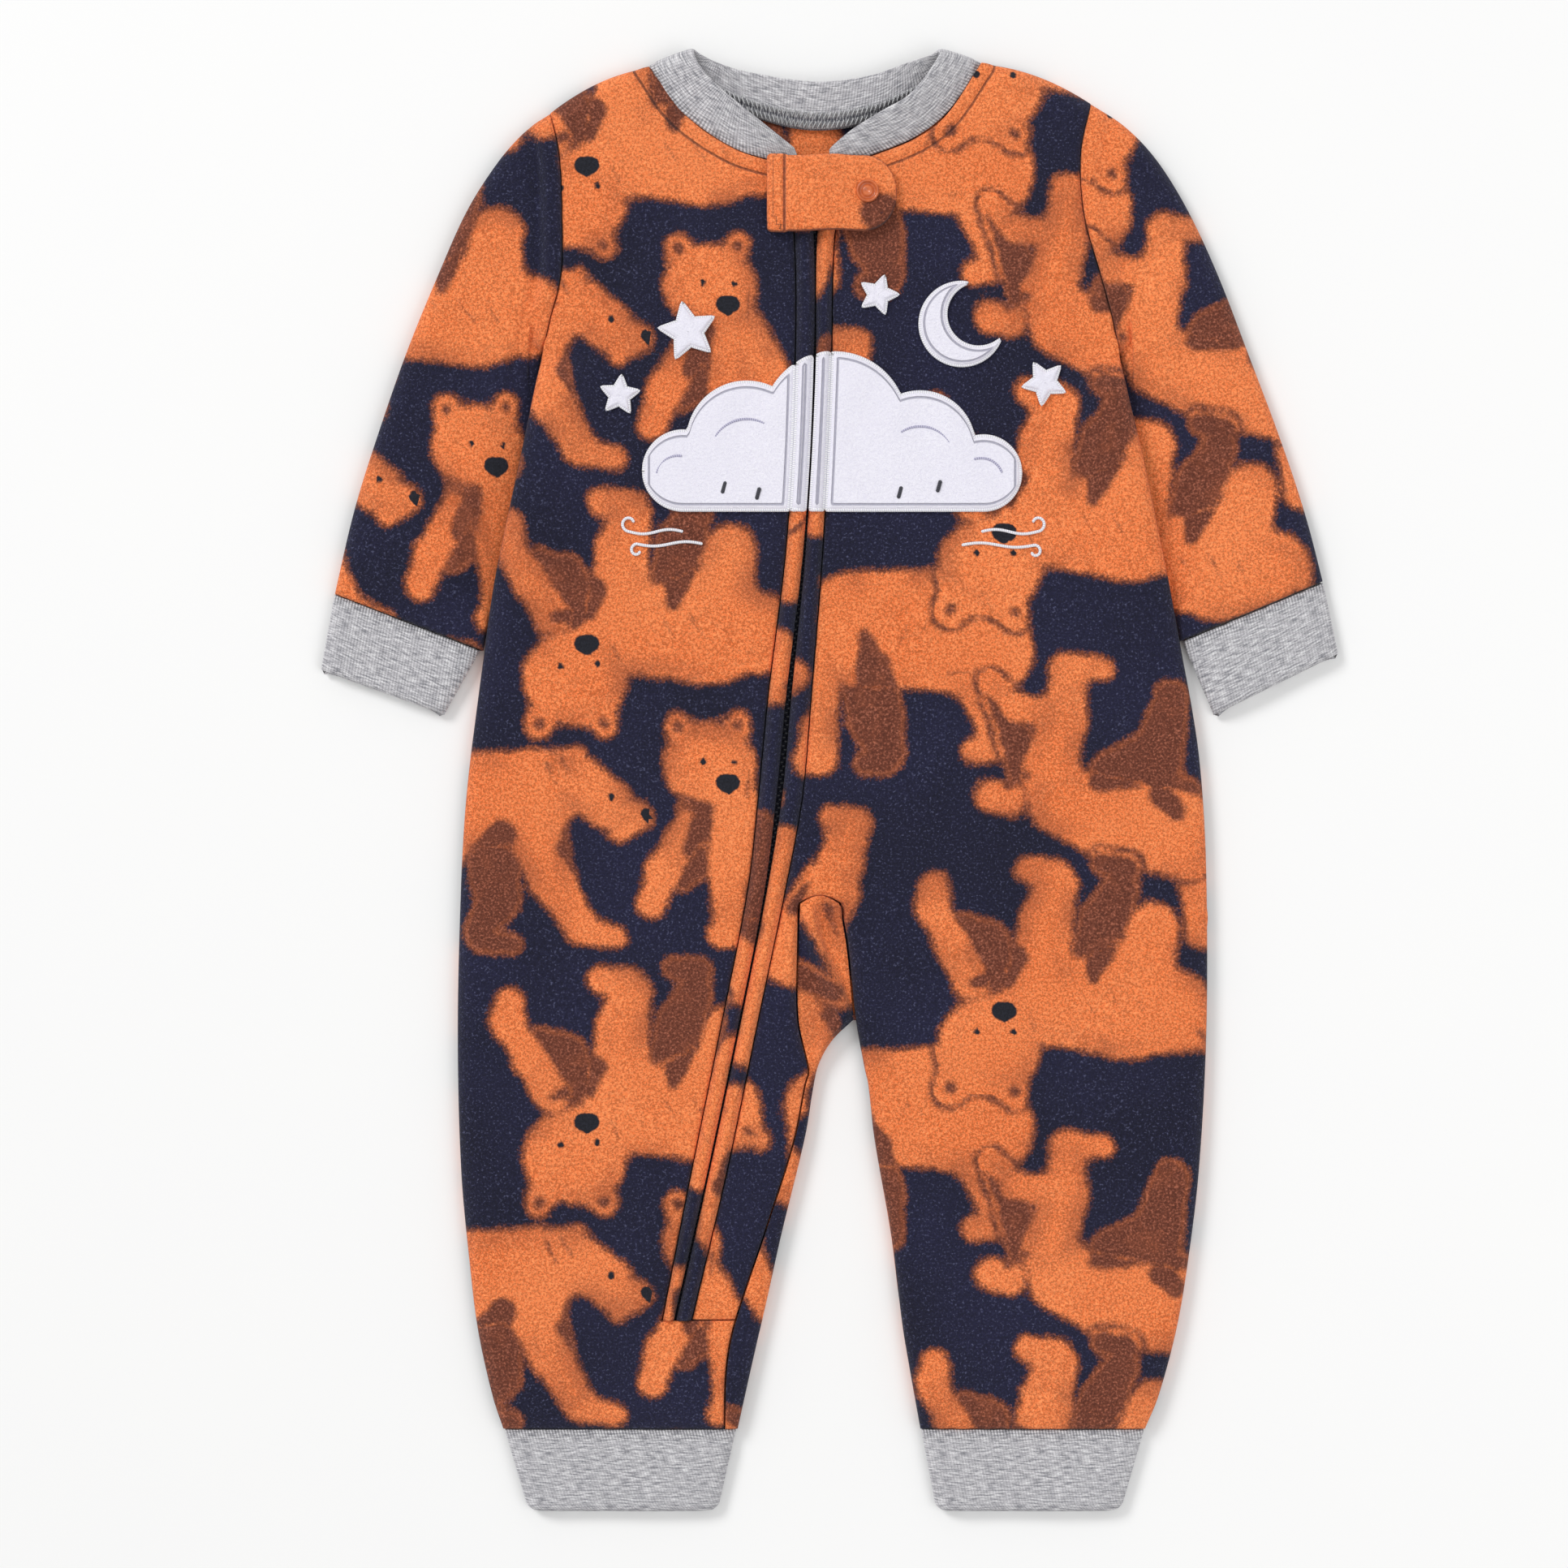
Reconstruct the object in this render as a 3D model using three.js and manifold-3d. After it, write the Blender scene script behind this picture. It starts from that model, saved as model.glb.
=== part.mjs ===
// A baby's footless fleece one-piece, laid flat on its back with the front up.
// Millimetres, +Z up from the surface it lies on, +Y towards the collar, +X towards the viewer's right.
// The front and back are walls of fleece that meet at rounded side seams, the sleeves and cuffs are
// flattened tubes, and each cut-and-sewn piece is its own solid, a seam's gap away from the next one.

import * as THREE from "three";
import { mergeVertices } from "three/addons/utils/BufferGeometryUtils.js";
import Module from "manifold-3d";

const wasm = await Module();
wasm.setup();

// Cloth thicknesses and the height of the layers as they lie
const FLEECE = 2.4;
const RIB = 2.3;
const SEAM_GAP = 0.3;
const TOP = 8.6; // outside of the front above the surface
const SEAM_LEVEL = 4.3; // height of the side and shoulder seams
const EDGE_RADIUS = 5; // how far in from a side seam the cloth rounds over
const CUFF_TOP = 6.4; // the rib cuffs lie flatter than the fleece
const SLEEVE_MARGIN_TOP = 4.9; // the strip of sleeve that lies under the body

// Where the legs and sleeves end
const ANKLE_SEAM = -266;
const ANKLE_END = -300;
const ARMPIT = 177;

// The body's outline: both side edges at each height, armholes first, then side seams and outer legs
const BODY_EDGES = [
  { y: 278, left: -115.6, right: 107.2 },
  { y: 257, left: -111, right: 103 },
  { y: 232, left: -109.8, right: 104.4 },
  { y: 207, left: -110.3, right: 111.3 },
  { y: 188, left: -115, right: 116.4 },
  { y: 161, left: -120.7, right: 121.6 },
  { y: 134, left: -126.3, right: 128 },
  { y: 79, left: -137.7, right: 139.3 },
  { y: 21, left: -146, right: 150.3 },
  { y: -13, left: -149.7, right: 153.7 },
  { y: -53, left: -151.7, right: 155 },
  { y: -106, left: -152.7, right: 154.7 },
  { y: -160, left: -151.3, right: 151.7 },
  { y: -199, left: -147.7, right: 147 },
  { y: -226, left: -144.3, right: 142.3 },
  { y: -253, left: -138.3, right: 135 },
  { y: -266, left: -134, right: 129.6 },
];

// The inner edges: the front's own edges from the crotch arch down, and the outline of the back
const FRONT_INNER = [
  { y: -50, left: -12.6, right: 4.6 },
  { y: -68, left: -13.3, right: 7.7 },
  { y: -98, left: -13.3, right: 10.8 },
  { y: -119, left: -8.9, right: 14.6 },
  { y: -124, left: -10.2, right: 15.8 },
  { y: -148, left: -15, right: 18.6 },
  { y: -184, left: -26.4, right: 25 },
  { y: -224, left: -39.6, right: 30 },
  { y: -242, left: -42.7, right: 33 },
  { y: -266, left: -43.4, right: 37.3 },
];
const BACK_INNER = [
  { y: -98.3, left: 10.2, right: 10.2 },
  { y: -106.3, left: 1.3, right: 12.3 },
  { y: -116, left: -4.3, right: 14 },
  { y: -125, left: -6.5, right: 16 },
  { y: -146, left: -10, right: 18.3 },
  { y: -186, left: -19.7, right: 25.2 },
  { y: -213, left: -25.7, right: 28.6 },
  { y: -239, left: -31.7, right: 32.6 },
  { y: -266, left: -37.7, right: 37.3 },
];
const CROTCH = BACK_INNER[0];
const SHOULDER_BOW = 3.3; // how far the shoulder seams bow up above a straight line
const ARCH_RISE = 3; // the crotch arch of the front stands this far above its two ends

// Necklines from the left shoulder to the right one
const FRONT_NECKLINE = [
  { x: -74.4, y: 292.6 },
  { x: -61.2, y: 274 },
  { x: -40.4, y: 259.5 },
  { x: -21, y: 253.2 },
  { x: -6, y: 249.6 },
  { x: 3, y: 251.4 },
  { x: 18, y: 256.4 },
  { x: 35.2, y: 263.4 },
  { x: 47.8, y: 273 },
  { x: 62.2, y: 294.2 },
];
const BACK_NECKLINE = [
  { x: -74.4, y: 292.6 },
  { x: -51, y: 281.4 },
  { x: -33.7, y: 272.8 },
  { x: -9, y: 266.8 },
  { x: 14, y: 269 },
  { x: 31, y: 275.6 },
  { x: 62.2, y: 294.2 },
];

// Soft troughs in the front, each along a line
const FRONT_FOLDS = [
  { x0: -18, y0: -36, x1: -23, y1: -96, width: 3.5, depth: 1.3 },
  { x0: -64, y0: 236, x1: -96, y1: 196, width: 9, depth: 0.9 },
  { x0: 62, y0: 238, x1: 94, y1: 204, width: 9, depth: 0.8 },
  { x0: -118, y0: 40, x1: -66, y1: 8, width: 12, depth: 1 },
  { x0: 120, y0: 34, x1: 70, y1: -6, width: 13, depth: 1 },
  { x0: 14, y0: -52, x1: 52, y1: -86, width: 10, depth: 1.1 },
  { x0: -100, y0: -128, x1: -60, y1: -152, width: 11, depth: 0.9 },
  { x0: 112, y0: -146, x1: 62, y1: -172, width: 12, depth: 1 },
];

// The zip: the middle of the gap between its two welts, the gap, and how wide each welt is
const ZIP = [
  { y: 251, x: -6.2, gap: 10.4, left: 8, right: 7.4 },
  { y: 236, x: -5.9, gap: 9, left: 8, right: 7.2 },
  { y: 224, x: -5.8, gap: 1.6, left: 7.8, right: 7 },
  { y: 166, x: -6.2, gap: 0.9, left: 7.4, right: 6.2 },
  { y: 98, x: -10, gap: 0.9, left: 7, right: 6.8 },
  { y: 34, x: -16.8, gap: 2.2, left: 7.2, right: 8 },
  { y: -6, x: -20.6, gap: 2.4, left: 7.2, right: 8.2 },
  { y: -44, x: -26, gap: 1, left: 6.8, right: 7.4 },
  { y: -98, x: -36.6, gap: 0.8, left: 6.8, right: 6.8 },
  { y: -160, x: -49.6, gap: 0.8, left: 6.4, right: 7 },
  { y: -221, x: -63.4, gap: 0.8, left: 4.6, right: 6.4 },
];
const ZIP_TOP = ZIP[0].y;
const ZIP_END = ZIP[ZIP.length - 1].y;
const ZIP_END_GAP = 0.5; // the seam across the zip's end
const WELT_RISE = 1.5; // how far the rolled welts stand above the front
const TAPE_HALF_WIDTH = 11;
const TAPE = 0.8;

// The sleeves: the outer edge and the height at which the inner edge lies, armhole to cuff seam
const SLEEVE_SECTIONS = {
  left: [
    { x: -115.9, y: 274, innerY: ARMPIT },
    { x: -125, y: 267.3, innerY: 175.4 },
    { x: -136.3, y: 254, innerY: 172.4 },
    { x: -149, y: 234, innerY: 166.5 },
    { x: -161, y: 207.3, innerY: 156 },
    { x: -174, y: 175.3, innerY: 139 },
    { x: -186, y: 140.7, innerY: 115 },
    { x: -195.3, y: 110.7, innerY: 85 },
    { x: -203.3, y: 76.8, innerY: 53.4 },
  ],
  right: [
    { x: 107.6, y: 278, innerY: ARMPIT },
    { x: 121.6, y: 268.6, innerY: 175.4 },
    { x: 134.6, y: 254.6, innerY: 172.4 },
    { x: 147.3, y: 234, innerY: 166.5 },
    { x: 159.7, y: 207.3, innerY: 156 },
    { x: 172, y: 175.3, innerY: 139 },
    { x: 185, y: 140.7, innerY: 115 },
    { x: 195, y: 110.7, innerY: 86 },
    { x: 202.7, y: 82, innerY: 57.4 },
  ],
};
// How far the sleeve's inner edge lies in under the body, and how far the body is lifted there
const TUCK = [
  { y: 175, under: -0.8, lift: 0 },
  { y: 163, under: 1, lift: 4.8 },
  { y: 150, under: 4, lift: 5.3 },
  { y: 96, under: 4, lift: 5.3 },
  { y: 80, under: 2.5, lift: 5 },
  { y: 66, under: 0.2, lift: 3 },
  { y: 50, under: -0.6, lift: 0 },
];
const LIFT_REACH = 34; // how far in from the side the body comes down again

// Rib cuffs: plan corners of the seam end and the open end
const WRIST_CUFFS = {
  left: {
    seam: { outer: [-203.4, 76.2], inner: [-143.6, 53.2] },
    end: { outer: [-209, 45.6], inner: [-158.3, 27.3] },
  },
  right: {
    seam: { outer: [202.9, 81.4], inner: [145, 57.2] },
    end: { outer: [209, 52.2], inner: [158, 27] },
  },
};
const ANKLE_CUFFS = {
  left: { seam: [-133.6, -38.3], end: [-123.6, -46] },
  right: { seam: [37.6, 129.4], end: [44, 119.7] },
};
const CUFF_CORNER = 4; // rounding of the ankle cuffs' lower corners

// The collar: seam and rim of the rib band, from the left of the zip round the back to the right of it
const COLLAR = [
  { seam: [-11.6, 251.8, 7.4], rim: [-14.6, 259.6, 7.9] },
  { seam: [-21, 254.4, 7.4], rim: [-25.7, 268.2, 9.6] },
  { seam: [-40, 260.6, 7.5], rim: [-36.8, 276.7, 12.2] },
  { seam: [-60.3, 274.9, 7.4], rim: [-47, 285.3, 13.2] },
  { seam: [-70.2, 287.4, 6.8], rim: [-53.4, 292.8, 12.8] },
  { seam: [-73.4, 293.2, 4.6], rim: [-55.6, 298.8, 10.8] },
  { seam: [-68, 290.6, 2.2], rim: [-52.4, 297.4, 8.4] },
  { seam: [-50.6, 282.6, 1.6], rim: [-46, 295, 7.8] },
  { seam: [-33.4, 274.1, 1.5], rim: [-34, 291.6, 8] },
  { seam: [-9, 268.1, 1.5], rim: [-6, 287.6, 8.2] },
  { seam: [14, 270.2, 1.5], rim: [16, 290, 8] },
  { seam: [30.6, 276.9, 1.5], rim: [30, 294.4, 7.9] },
  { seam: [56, 292, 2.2], rim: [41.6, 297.4, 8.4] },
  { seam: [61.2, 294.6, 4.6], rim: [44.6, 298.8, 10.8] },
  { seam: [58.6, 289.6, 6.8], rim: [42.8, 293.4, 12.8] },
  { seam: [47, 274, 7.4], rim: [32.9, 280.8, 13.2] },
  { seam: [34.7, 264.6, 7.5], rim: [21.3, 273.9, 12.4] },
  { seam: [17.7, 257.6, 7.4], rim: [9.6, 267, 9.8] },
  { seam: [4.4, 253.4, 7.4], rim: [1.6, 260.6, 8.4] },
  { seam: [0.4, 252, 7.4], rim: [-0.2, 258.6, 7.9] },
];

// The snap tab over the top of the zip, and its snap
const TAB = { left: -25.7, right: 27.4, middle: 241, halfWidth: 15.4, roundFrom: 13 };
const TAB_BOTTOM = [
  { x: -25.7, z: 9 },
  { x: -16, z: 11.4 },
  { x: -7, z: 12.2 },
  { x: 2, z: 11.8 },
  { x: 10, z: 10.8 },
  { x: 16, z: 10.5 },
  { x: 27.4, z: 9.4 },
];
const TAB_THICKNESS = 3.2;
const TAB_EDGE = 1.5; // the tab thins to this at its rim
const TAB_COLLAR_RISE = 1.1; // its upper edge rides over the collar's ends
const TAB_HEM = 7.8; // the folded end that is stitched down
const SNAP = { x: 15.4, y: 241.6, radius: 4.75, height: 1.1, studRadius: 4, studHeight: 1.1 };

// The zip's slider and its pull, folded down under the tab
const SLIDER = { y: 238.4, length: 9, width: 6.4, bottom: 5.9, top: 9.7 };
const PULL = { length: 13, width: 4.4, thickness: 1 };

// Felt shapes stitched to the chest: a cloud across the zip, a moon and stars
const FELT = 1.1;
const CLOUD_PUFFS = [
  { x: -60, y: 127, r: 16 },
  { x: -34, y: 139, r: 24 },
  { x: 2, y: 146, r: 29 },
  { x: 37, y: 137, r: 22 },
  { x: 63, y: 126, r: 15 },
];
const CLOUD_BASE = { left: -60, right: 63, bottom: 111, top: 128 };
const MOON = { x: 54, y: 187, r: 17, biteX: 61, biteY: 191, biteR: 13.5 };
const STARS = [
  { name: "star_left", x: -58, y: 184, r: 12, turn: 0.2 },
  { name: "star_top", x: 20, y: 199, r: 8, turn: -0.3 },
  { name: "star_right", x: 88, y: 163, r: 9, turn: 0.5 },
  { name: "star_low", x: -86, y: 158, r: 8, turn: -0.1 },
];
const STAR_WAIST = 0.5; // inner radius of a star as a share of its outer one

const lerp = (a, b, t) => a + (b - a) * t;
const clamp01 = (t) => Math.min(1, Math.max(0, t));
const smooth = (t) => clamp01(t) ** 2 * (3 - 2 * clamp01(t));
// Height share of a quarter ellipse at distance d in from its edge
const rounded = (d, radius) => Math.sqrt(1 - (1 - clamp01(d / radius)) ** 2);

// The smooth value of a table's column at a place along another column
function valueAt(rows, by, column, at) {
  const rising = rows[rows.length - 1][by] > rows[0][by] ? 1 : -1;
  let i = 0;
  while (i < rows.length - 2 && rising * at > rising * rows[i + 1][by]) i++;
  const [a, b] = [rows[i], rows[i + 1]];
  const before = rows[Math.max(0, i - 1)];
  const after = rows[Math.min(rows.length - 1, i + 2)];
  const span = b[by] - a[by];
  const t = clamp01((at - a[by]) / span);
  const slopeA = ((b[column] - before[column]) / (b[by] - before[by])) * span;
  const slopeB = ((after[column] - a[column]) / (after[by] - a[by])) * span;
  const [t2, t3] = [t * t, t * t * t];
  return (2 * t3 - 3 * t2 + 1) * a[column] + (t3 - 2 * t2 + t) * slopeA + (3 * t2 - 2 * t3) * b[column] + (t3 - t2) * slopeB;
}

// A point at share t along a list of plan points, as a smooth curve through them
function curveAt(points, t) {
  const curve = new THREE.CatmullRomCurve3(points.map((p) => new THREE.Vector3(p.x, p.y, 0)), false, "centripetal");
  return curve.getPointAt(clamp01(t));
}

const sideEdge = (side, y) => valueAt(BODY_EDGES, "y", side, y);
const tuck = (column, y) => (y > TUCK[0].y || y < TUCK[TUCK.length - 1].y ? TUCK[0][column] : valueAt(TUCK, "y", column, y));

// How far the body is lifted off the surface where it lies over a sleeve
function bodyLift(x, y) {
  const fromSide = Math.min(x - sideEdge("left", y), sideEdge("right", y) - x);
  if (y > TUCK[0].y || y < TUCK[TUCK.length - 1].y) return 0;
  return Math.max(0, tuck("lift", y)) * (1 - smooth((fromSide - EDGE_RADIUS) / (LIFT_REACH - EDGE_RADIUS)));
}

// Outside of the front away from its edges: the flat top less the troughs, and lower beside the cuffs
function frontTop(x, y) {
  let z = TOP - 1.2 * (1 - smooth((y - ANKLE_SEAM) / 9));
  for (const fold of FRONT_FOLDS) {
    const [dx, dy] = [fold.x1 - fold.x0, fold.y1 - fold.y0];
    const t = clamp01(((x - fold.x0) * dx + (y - fold.y0) * dy) / (dx * dx + dy * dy));
    const off = Math.hypot(x - fold.x0 - t * dx, y - fold.y0 - t * dy) / fold.width;
    z -= fold.depth * Math.exp(-off * off);
  }
  return z + bodyLift(x, y);
}

// A surface is a list of points and the quads between them
function newSurface() {
  return { points: [], quads: [] };
}

function addRow(surface, row) {
  return row.map((p) => surface.points.push(p) - 1);
}

function joinRows(surface, upper, lower, closed = false) {
  const last = closed ? upper.length : upper.length - 1;
  for (let j = 0; j < last; j++) {
    const k = (j + 1) % upper.length;
    surface.quads.push([upper[j], lower[j], lower[k], upper[k]]);
  }
}

function surfaceOfRows(rows, closed = false) {
  const surface = newSurface();
  const ids = rows.map((row) => addRow(surface, row));
  for (let i = 1; i < ids.length; i++) joinRows(surface, ids[i - 1], ids[i], closed);
  return surface;
}

// A closed wall between two offsets of a surface along its own normals. At a rim point the offset is
// level, so the walls on either side of a seam stay apart.
function wall(surface, low, high) {
  const { points, quads } = surface;
  const normals = points.map(() => new THREE.Vector3());
  const edges = new Map();
  for (const quad of quads) {
    const [a, b, c, d] = quad.map((i) => points[i]);
    const normal = new THREE.Vector3().crossVectors(c.clone().sub(a), d.clone().sub(b)).normalize();
    quad.forEach((i, k) => {
      normals[i].add(normal);
      const next = quad[(k + 1) % 4];
      edges.set(`${i},${next}`, [i, next]);
    });
  }
  const count = points.length;
  points.forEach((p, i) => {
    if (p.rim) normals[i].z = 0;
    normals[i].normalize();
  });
  const position = [];
  for (const offset of [high, low])
    points.forEach((p, i) => position.push(...p.clone().addScaledVector(normals[i], offset).toArray()));
  const index = [];
  for (const [a, b, c, d] of quads) {
    index.push(a, b, c, a, c, d);
    index.push(count + a, count + c, count + b, count + a, count + d, count + c);
  }
  for (const [a, b] of edges.values())
    if (!edges.has(`${b},${a}`)) index.push(b, a, count + a, b, count + a, count + b);
  return solidOf(new THREE.BufferGeometry().setAttribute("position", new THREE.Float32BufferAttribute(position, 3)).setIndex(index));
}

function solidOf(geometry) {
  const bare = geometry.clone();
  bare.deleteAttribute("normal");
  bare.deleteAttribute("uv");
  const merged = mergeVertices(bare, 1e-4);
  const position = merged.getAttribute("position").array;
  return new wasm.Manifold(new wasm.Mesh({ numProp: 3, vertProperties: position, triVerts: new Uint32Array(merged.index.array) }));
}

function geometryOf(solid) {
  const mesh = solid.getMesh();
  const position = new Float32Array(mesh.numVert * 3);
  for (let i = 0; i < mesh.numVert; i++)
    position.set(mesh.vertProperties.subarray(i * mesh.numProp, i * mesh.numProp + 3), i * 3);
  return new THREE.BufferGeometry().setAttribute("position", new THREE.BufferAttribute(position, 3)).setIndex([...mesh.triVerts]);
}

// Columns of a row: distances in from a rounded edge, then even steps
const EDGE_STEPS = [0, 0.7, 2.5, EDGE_RADIUS];

// Places from a rounded outer edge to an inner one that is rounded too by the share given
function columnsBetween(outer, inner, count, innerRounding) {
  const way = Math.sign(inner - outer);
  const last = EDGE_STEPS.length - 1;
  return Array.from({ length: count + 1 }, (_, k) => {
    if (k <= last) return outer + way * EDGE_STEPS[k];
    const even = lerp(outer + way * EDGE_RADIUS, inner, (k - last) / (count - last));
    const fromInner = count - k;
    const start = outer + way * EDGE_RADIUS;
    const stop = inner - way * EDGE_RADIUS;
    const clustered =
      fromInner <= last ? inner - way * EDGE_STEPS[fromInner] : lerp(start, stop, (k - last) / (count - 2 * last));
    return lerp(even, clustered, innerRounding);
  });
}

// A layer of the body, front or back, as one surface: shoulders and neckline, trunk, then two legs.
// place(x, y, edges) gives the point; edges says how far the point is from each edge that is rounded.
function bodyLayer({ neckline, halfCounts, innerEdges, archCount, trunkRows, legRows, splitTop, place }) {
  const surface = newSurface();
  const fork = innerEdges[0];
  const [leftCount, rightCount] = halfCounts;
  const sides = [
    { side: "left", count: leftCount },
    { side: "right", count: rightCount },
  ];
  const splitAt = (side, y) => lerp(fork[side], splitTop[side], clamp01((y - fork.y) / (trunkRows[0] - fork.y)));

  function trunkRow(y) {
    const rounding = 1 - smooth((y - fork.y) / 45);
    const left = columnsBetween(sideEdge("left", y), splitAt("left", y), leftCount, rounding);
    const right = columnsBetween(sideEdge("right", y), splitAt("right", y), rightCount, rounding).reverse();
    const middle = [];
    for (let k = 1; k < archCount; k++) middle.push(lerp(splitAt("left", y), splitAt("right", y), k / archCount));
    const xs = archCount ? [...left, ...middle, ...right] : [...left, ...right.slice(1)];
    return xs.map((x) => {
      const inArch = archCount > 1 && x > fork.left + 0.01 && x < fork.right - 0.01;
      const rise = y === fork.y && inArch ? ARCH_RISE : 0;
      return { x, y: y + rise };
    });
  }

  // The top edge: from the shoulder tips along the shoulders, then round the neckline
  const first = trunkRow(trunkRows[0]);
  const shoulderColumns = Math.round(first.length * 0.3);
  const tips = sides.map(({ side }) => {
    const y = SLEEVE_SECTIONS[side][0].y;
    return { x: sideEdge(side, y), y };
  });
  const neckEnds = [neckline[0], neckline[neckline.length - 1]];
  const topEdge = first.map((_, j) => {
    const fromRight = first.length - 1 - j;
    const near = Math.min(j, fromRight);
    if (near <= shoulderColumns) {
      const end = j < fromRight ? 0 : 1;
      const length = Math.hypot(neckEnds[end].x - tips[end].x, neckEnds[end].y - tips[end].y);
      const last = EDGE_STEPS.length - 1;
      const share = near <= last ? EDGE_STEPS[near] / length : lerp(EDGE_RADIUS / length, 1, (near - last) / (shoulderColumns - last));
      const rise = SHOULDER_BOW * 4 * share * (1 - share);
      return {
        x: lerp(tips[end].x, neckEnds[end].x, share),
        y: lerp(tips[end].y, neckEnds[end].y, share) + rise,
        seam: 1,
      };
    }
    const t = (j - shoulderColumns) / (first.length - 1 - 2 * shoulderColumns);
    const p = curveAt(neckline, t);
    return { x: p.x, y: p.y, seam: 1 - smooth(Math.min(t, 1 - t) / 0.12) };
  });

  const topRows = [0, 0.7, 2.5, EDGE_RADIUS].map((step) => ({ step }));
  for (const share of [0.2, 0.42, 0.66, 0.84]) topRows.push({ share });
  const rows = topRows.map(({ step, share }) =>
    first.map((foot, j) => {
      const top = topEdge[j];
      const length = Math.hypot(foot.x - top.x, foot.y - top.y);
      const t = share ?? step / length;
      const y = lerp(top.y, foot.y, t);
      const wide = sideEdge("right", y) - sideEdge("left", y);
      const [shareTop, shareFoot] = [
        (top.x - sideEdge("left", top.y)) / (sideEdge("right", top.y) - sideEdge("left", top.y)),
        (foot.x - sideEdge("left", foot.y)) / (sideEdge("right", foot.y) - sideEdge("left", foot.y)),
      ];
      const x = sideEdge("left", y) + wide * lerp(shareTop, shareFoot, t);
      const fromSide = Math.min(x - sideEdge("left", y), sideEdge("right", y) - x);
      return place(x, y, { closed: lerp(EDGE_RADIUS, Math.min(EDGE_RADIUS, t * length), top.seam), armhole: fromSide });
    }),
  );

  for (const y of trunkRows)
    rows.push(
      trunkRow(y).map((p) => {
        const fromSide = Math.min(p.x - sideEdge("left", y), sideEdge("right", y) - p.x);
        const open = smooth((y - ARMPIT + 4) / 8);
        const fromFork = archCount
          ? Math.hypot(Math.max(fork.left - p.x, 0, p.x - fork.right), p.y - fork.y - ARCH_RISE)
          : Math.hypot(p.x - fork.left, p.y - fork.y);
        const closed = Math.min(lerp(Math.min(fromSide, EDGE_RADIUS), EDGE_RADIUS, open), fromFork);
        return place(p.x, p.y, { closed, armhole: lerp(EDGE_RADIUS, fromSide, open) });
      }),
    );
  const ids = rows.map((row) => addRow(surface, row));
  for (let i = 1; i < ids.length; i++) joinRows(surface, ids[i - 1], ids[i]);

  const lastTrunk = ids[ids.length - 1];
  const starts = [lastTrunk.slice(0, leftCount + 1), lastTrunk.slice(lastTrunk.length - rightCount - 1)];
  sides.forEach(({ side, count }, n) => {
    let above = starts[n];
    for (const y of legRows) {
      const inner = valueAt(innerEdges, "y", side, y);
      const outer = sideEdge(side, y);
      const xs = columnsBetween(outer, inner, count, 1);
      if (side === "right") xs.reverse();
      const row = xs.map((x) =>
        place(x, y, { closed: Math.abs(x - outer), inner: Math.abs(x - inner), side, armhole: EDGE_RADIUS }),
      );
      const ids = addRow(surface, row);
      joinRows(surface, above, ids);
      above = ids;
    }
  });
  return surface;
}

const ARMHOLE_DIP = 0.8; // the seam pulls the cloth down beside it

// A point on the outside of the front
function frontPlace(x, y, { closed, inner = EDGE_RADIUS, side, armhole }) {
  const lift = bodyLift(x, y);
  const top = frontTop(x, y);
  const bottom = SEAM_LEVEL + SEAM_GAP / 2 + lift;
  // The left leg's inner edge is rolled down only above the place where the gusset joins it on top
  const rolled = side === "left" ? smooth((y + 121) / 10) : 1;
  const innerShare = lerp(1 - 0.12 * (1 - rounded(inner, 2)), rounded(inner, EDGE_RADIUS), rolled);
  const share = Math.min(rounded(closed, EDGE_RADIUS), innerShare);
  const z = lerp(bottom, top, share) - ARMHOLE_DIP * (1 - rounded(armhole, 3)) * share;
  return Object.assign(new THREE.Vector3(x, y, z), { rim: share < 0.02 });
}

// A point on the outside of the back: flat on the surface, rounding up to the seams
function backPlace(x, y, { closed, inner = EDGE_RADIUS }) {
  const up = 1 - Math.min(rounded(closed, EDGE_RADIUS), rounded(inner, EDGE_RADIUS));
  const z = bodyLift(x, y) + (SEAM_LEVEL - SEAM_GAP / 2) * up;
  return Object.assign(new THREE.Vector3(x, y, z), { rim: up > 0.98 });
}

// A vertical prism over a strip of plan between two lists of points
function prismBetween(leftPoints, rightPoints) {
  const outline = [...leftPoints, ...rightPoints.slice().reverse()];
  const shape = new THREE.Shape(outline.map(([x, y]) => new THREE.Vector2(x, y)));
  const solid = solidOf(new THREE.ExtrudeGeometry(shape, { depth: 60, bevelEnabled: false }).translate(0, 0, -20));
  return solid;
}

const zipAt = (y) => ({
  x: valueAt(ZIP, "y", "x", y),
  gap: valueAt(ZIP, "y", "gap", y),
  left: valueAt(ZIP, "y", "left", y),
  right: valueAt(ZIP, "y", "right", y),
});
const ZIP_ROWS = Array.from({ length: 25 }, (_, i) => lerp(ZIP_TOP, ZIP_END, i / 24));

// The slot in the front that the two welts fill
function zipSlot() {
  const rows = [ZIP_TOP + 20, ...ZIP_ROWS, ZIP_END - ZIP_END_GAP];
  const edge = (way) => rows.map((y) => {
    const zip = zipAt(Math.min(y, ZIP_TOP));
    return [zip.x + way * (zip.gap / 2 + zip[way < 0 ? "left" : "right"] + SEAM_GAP), y];
  });
  return prismBetween(edge(-1), edge(1));
}

// The seam that runs from the zip's end to the inner leg
function zipEndSeam() {
  const [low, high] = [ZIP_END - ZIP_END_GAP, ZIP_END];
  const x = zipAt(ZIP_END).x;
  return prismBetween([[x, high], [x, low]], [[0, high], [0, low]]);
}

function bodyOfSide(solid, side) {
  const bodies = solid.decompose().sort((a, b) => b.volume() - a.volume()).slice(0, 2);
  const middle = (body) => (body.boundingBox().min[0] + body.boundingBox().max[0]) / 2;
  bodies.sort((a, b) => middle(a) - middle(b));
  return side === "left" ? bodies[0] : bodies[1];
}

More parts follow.
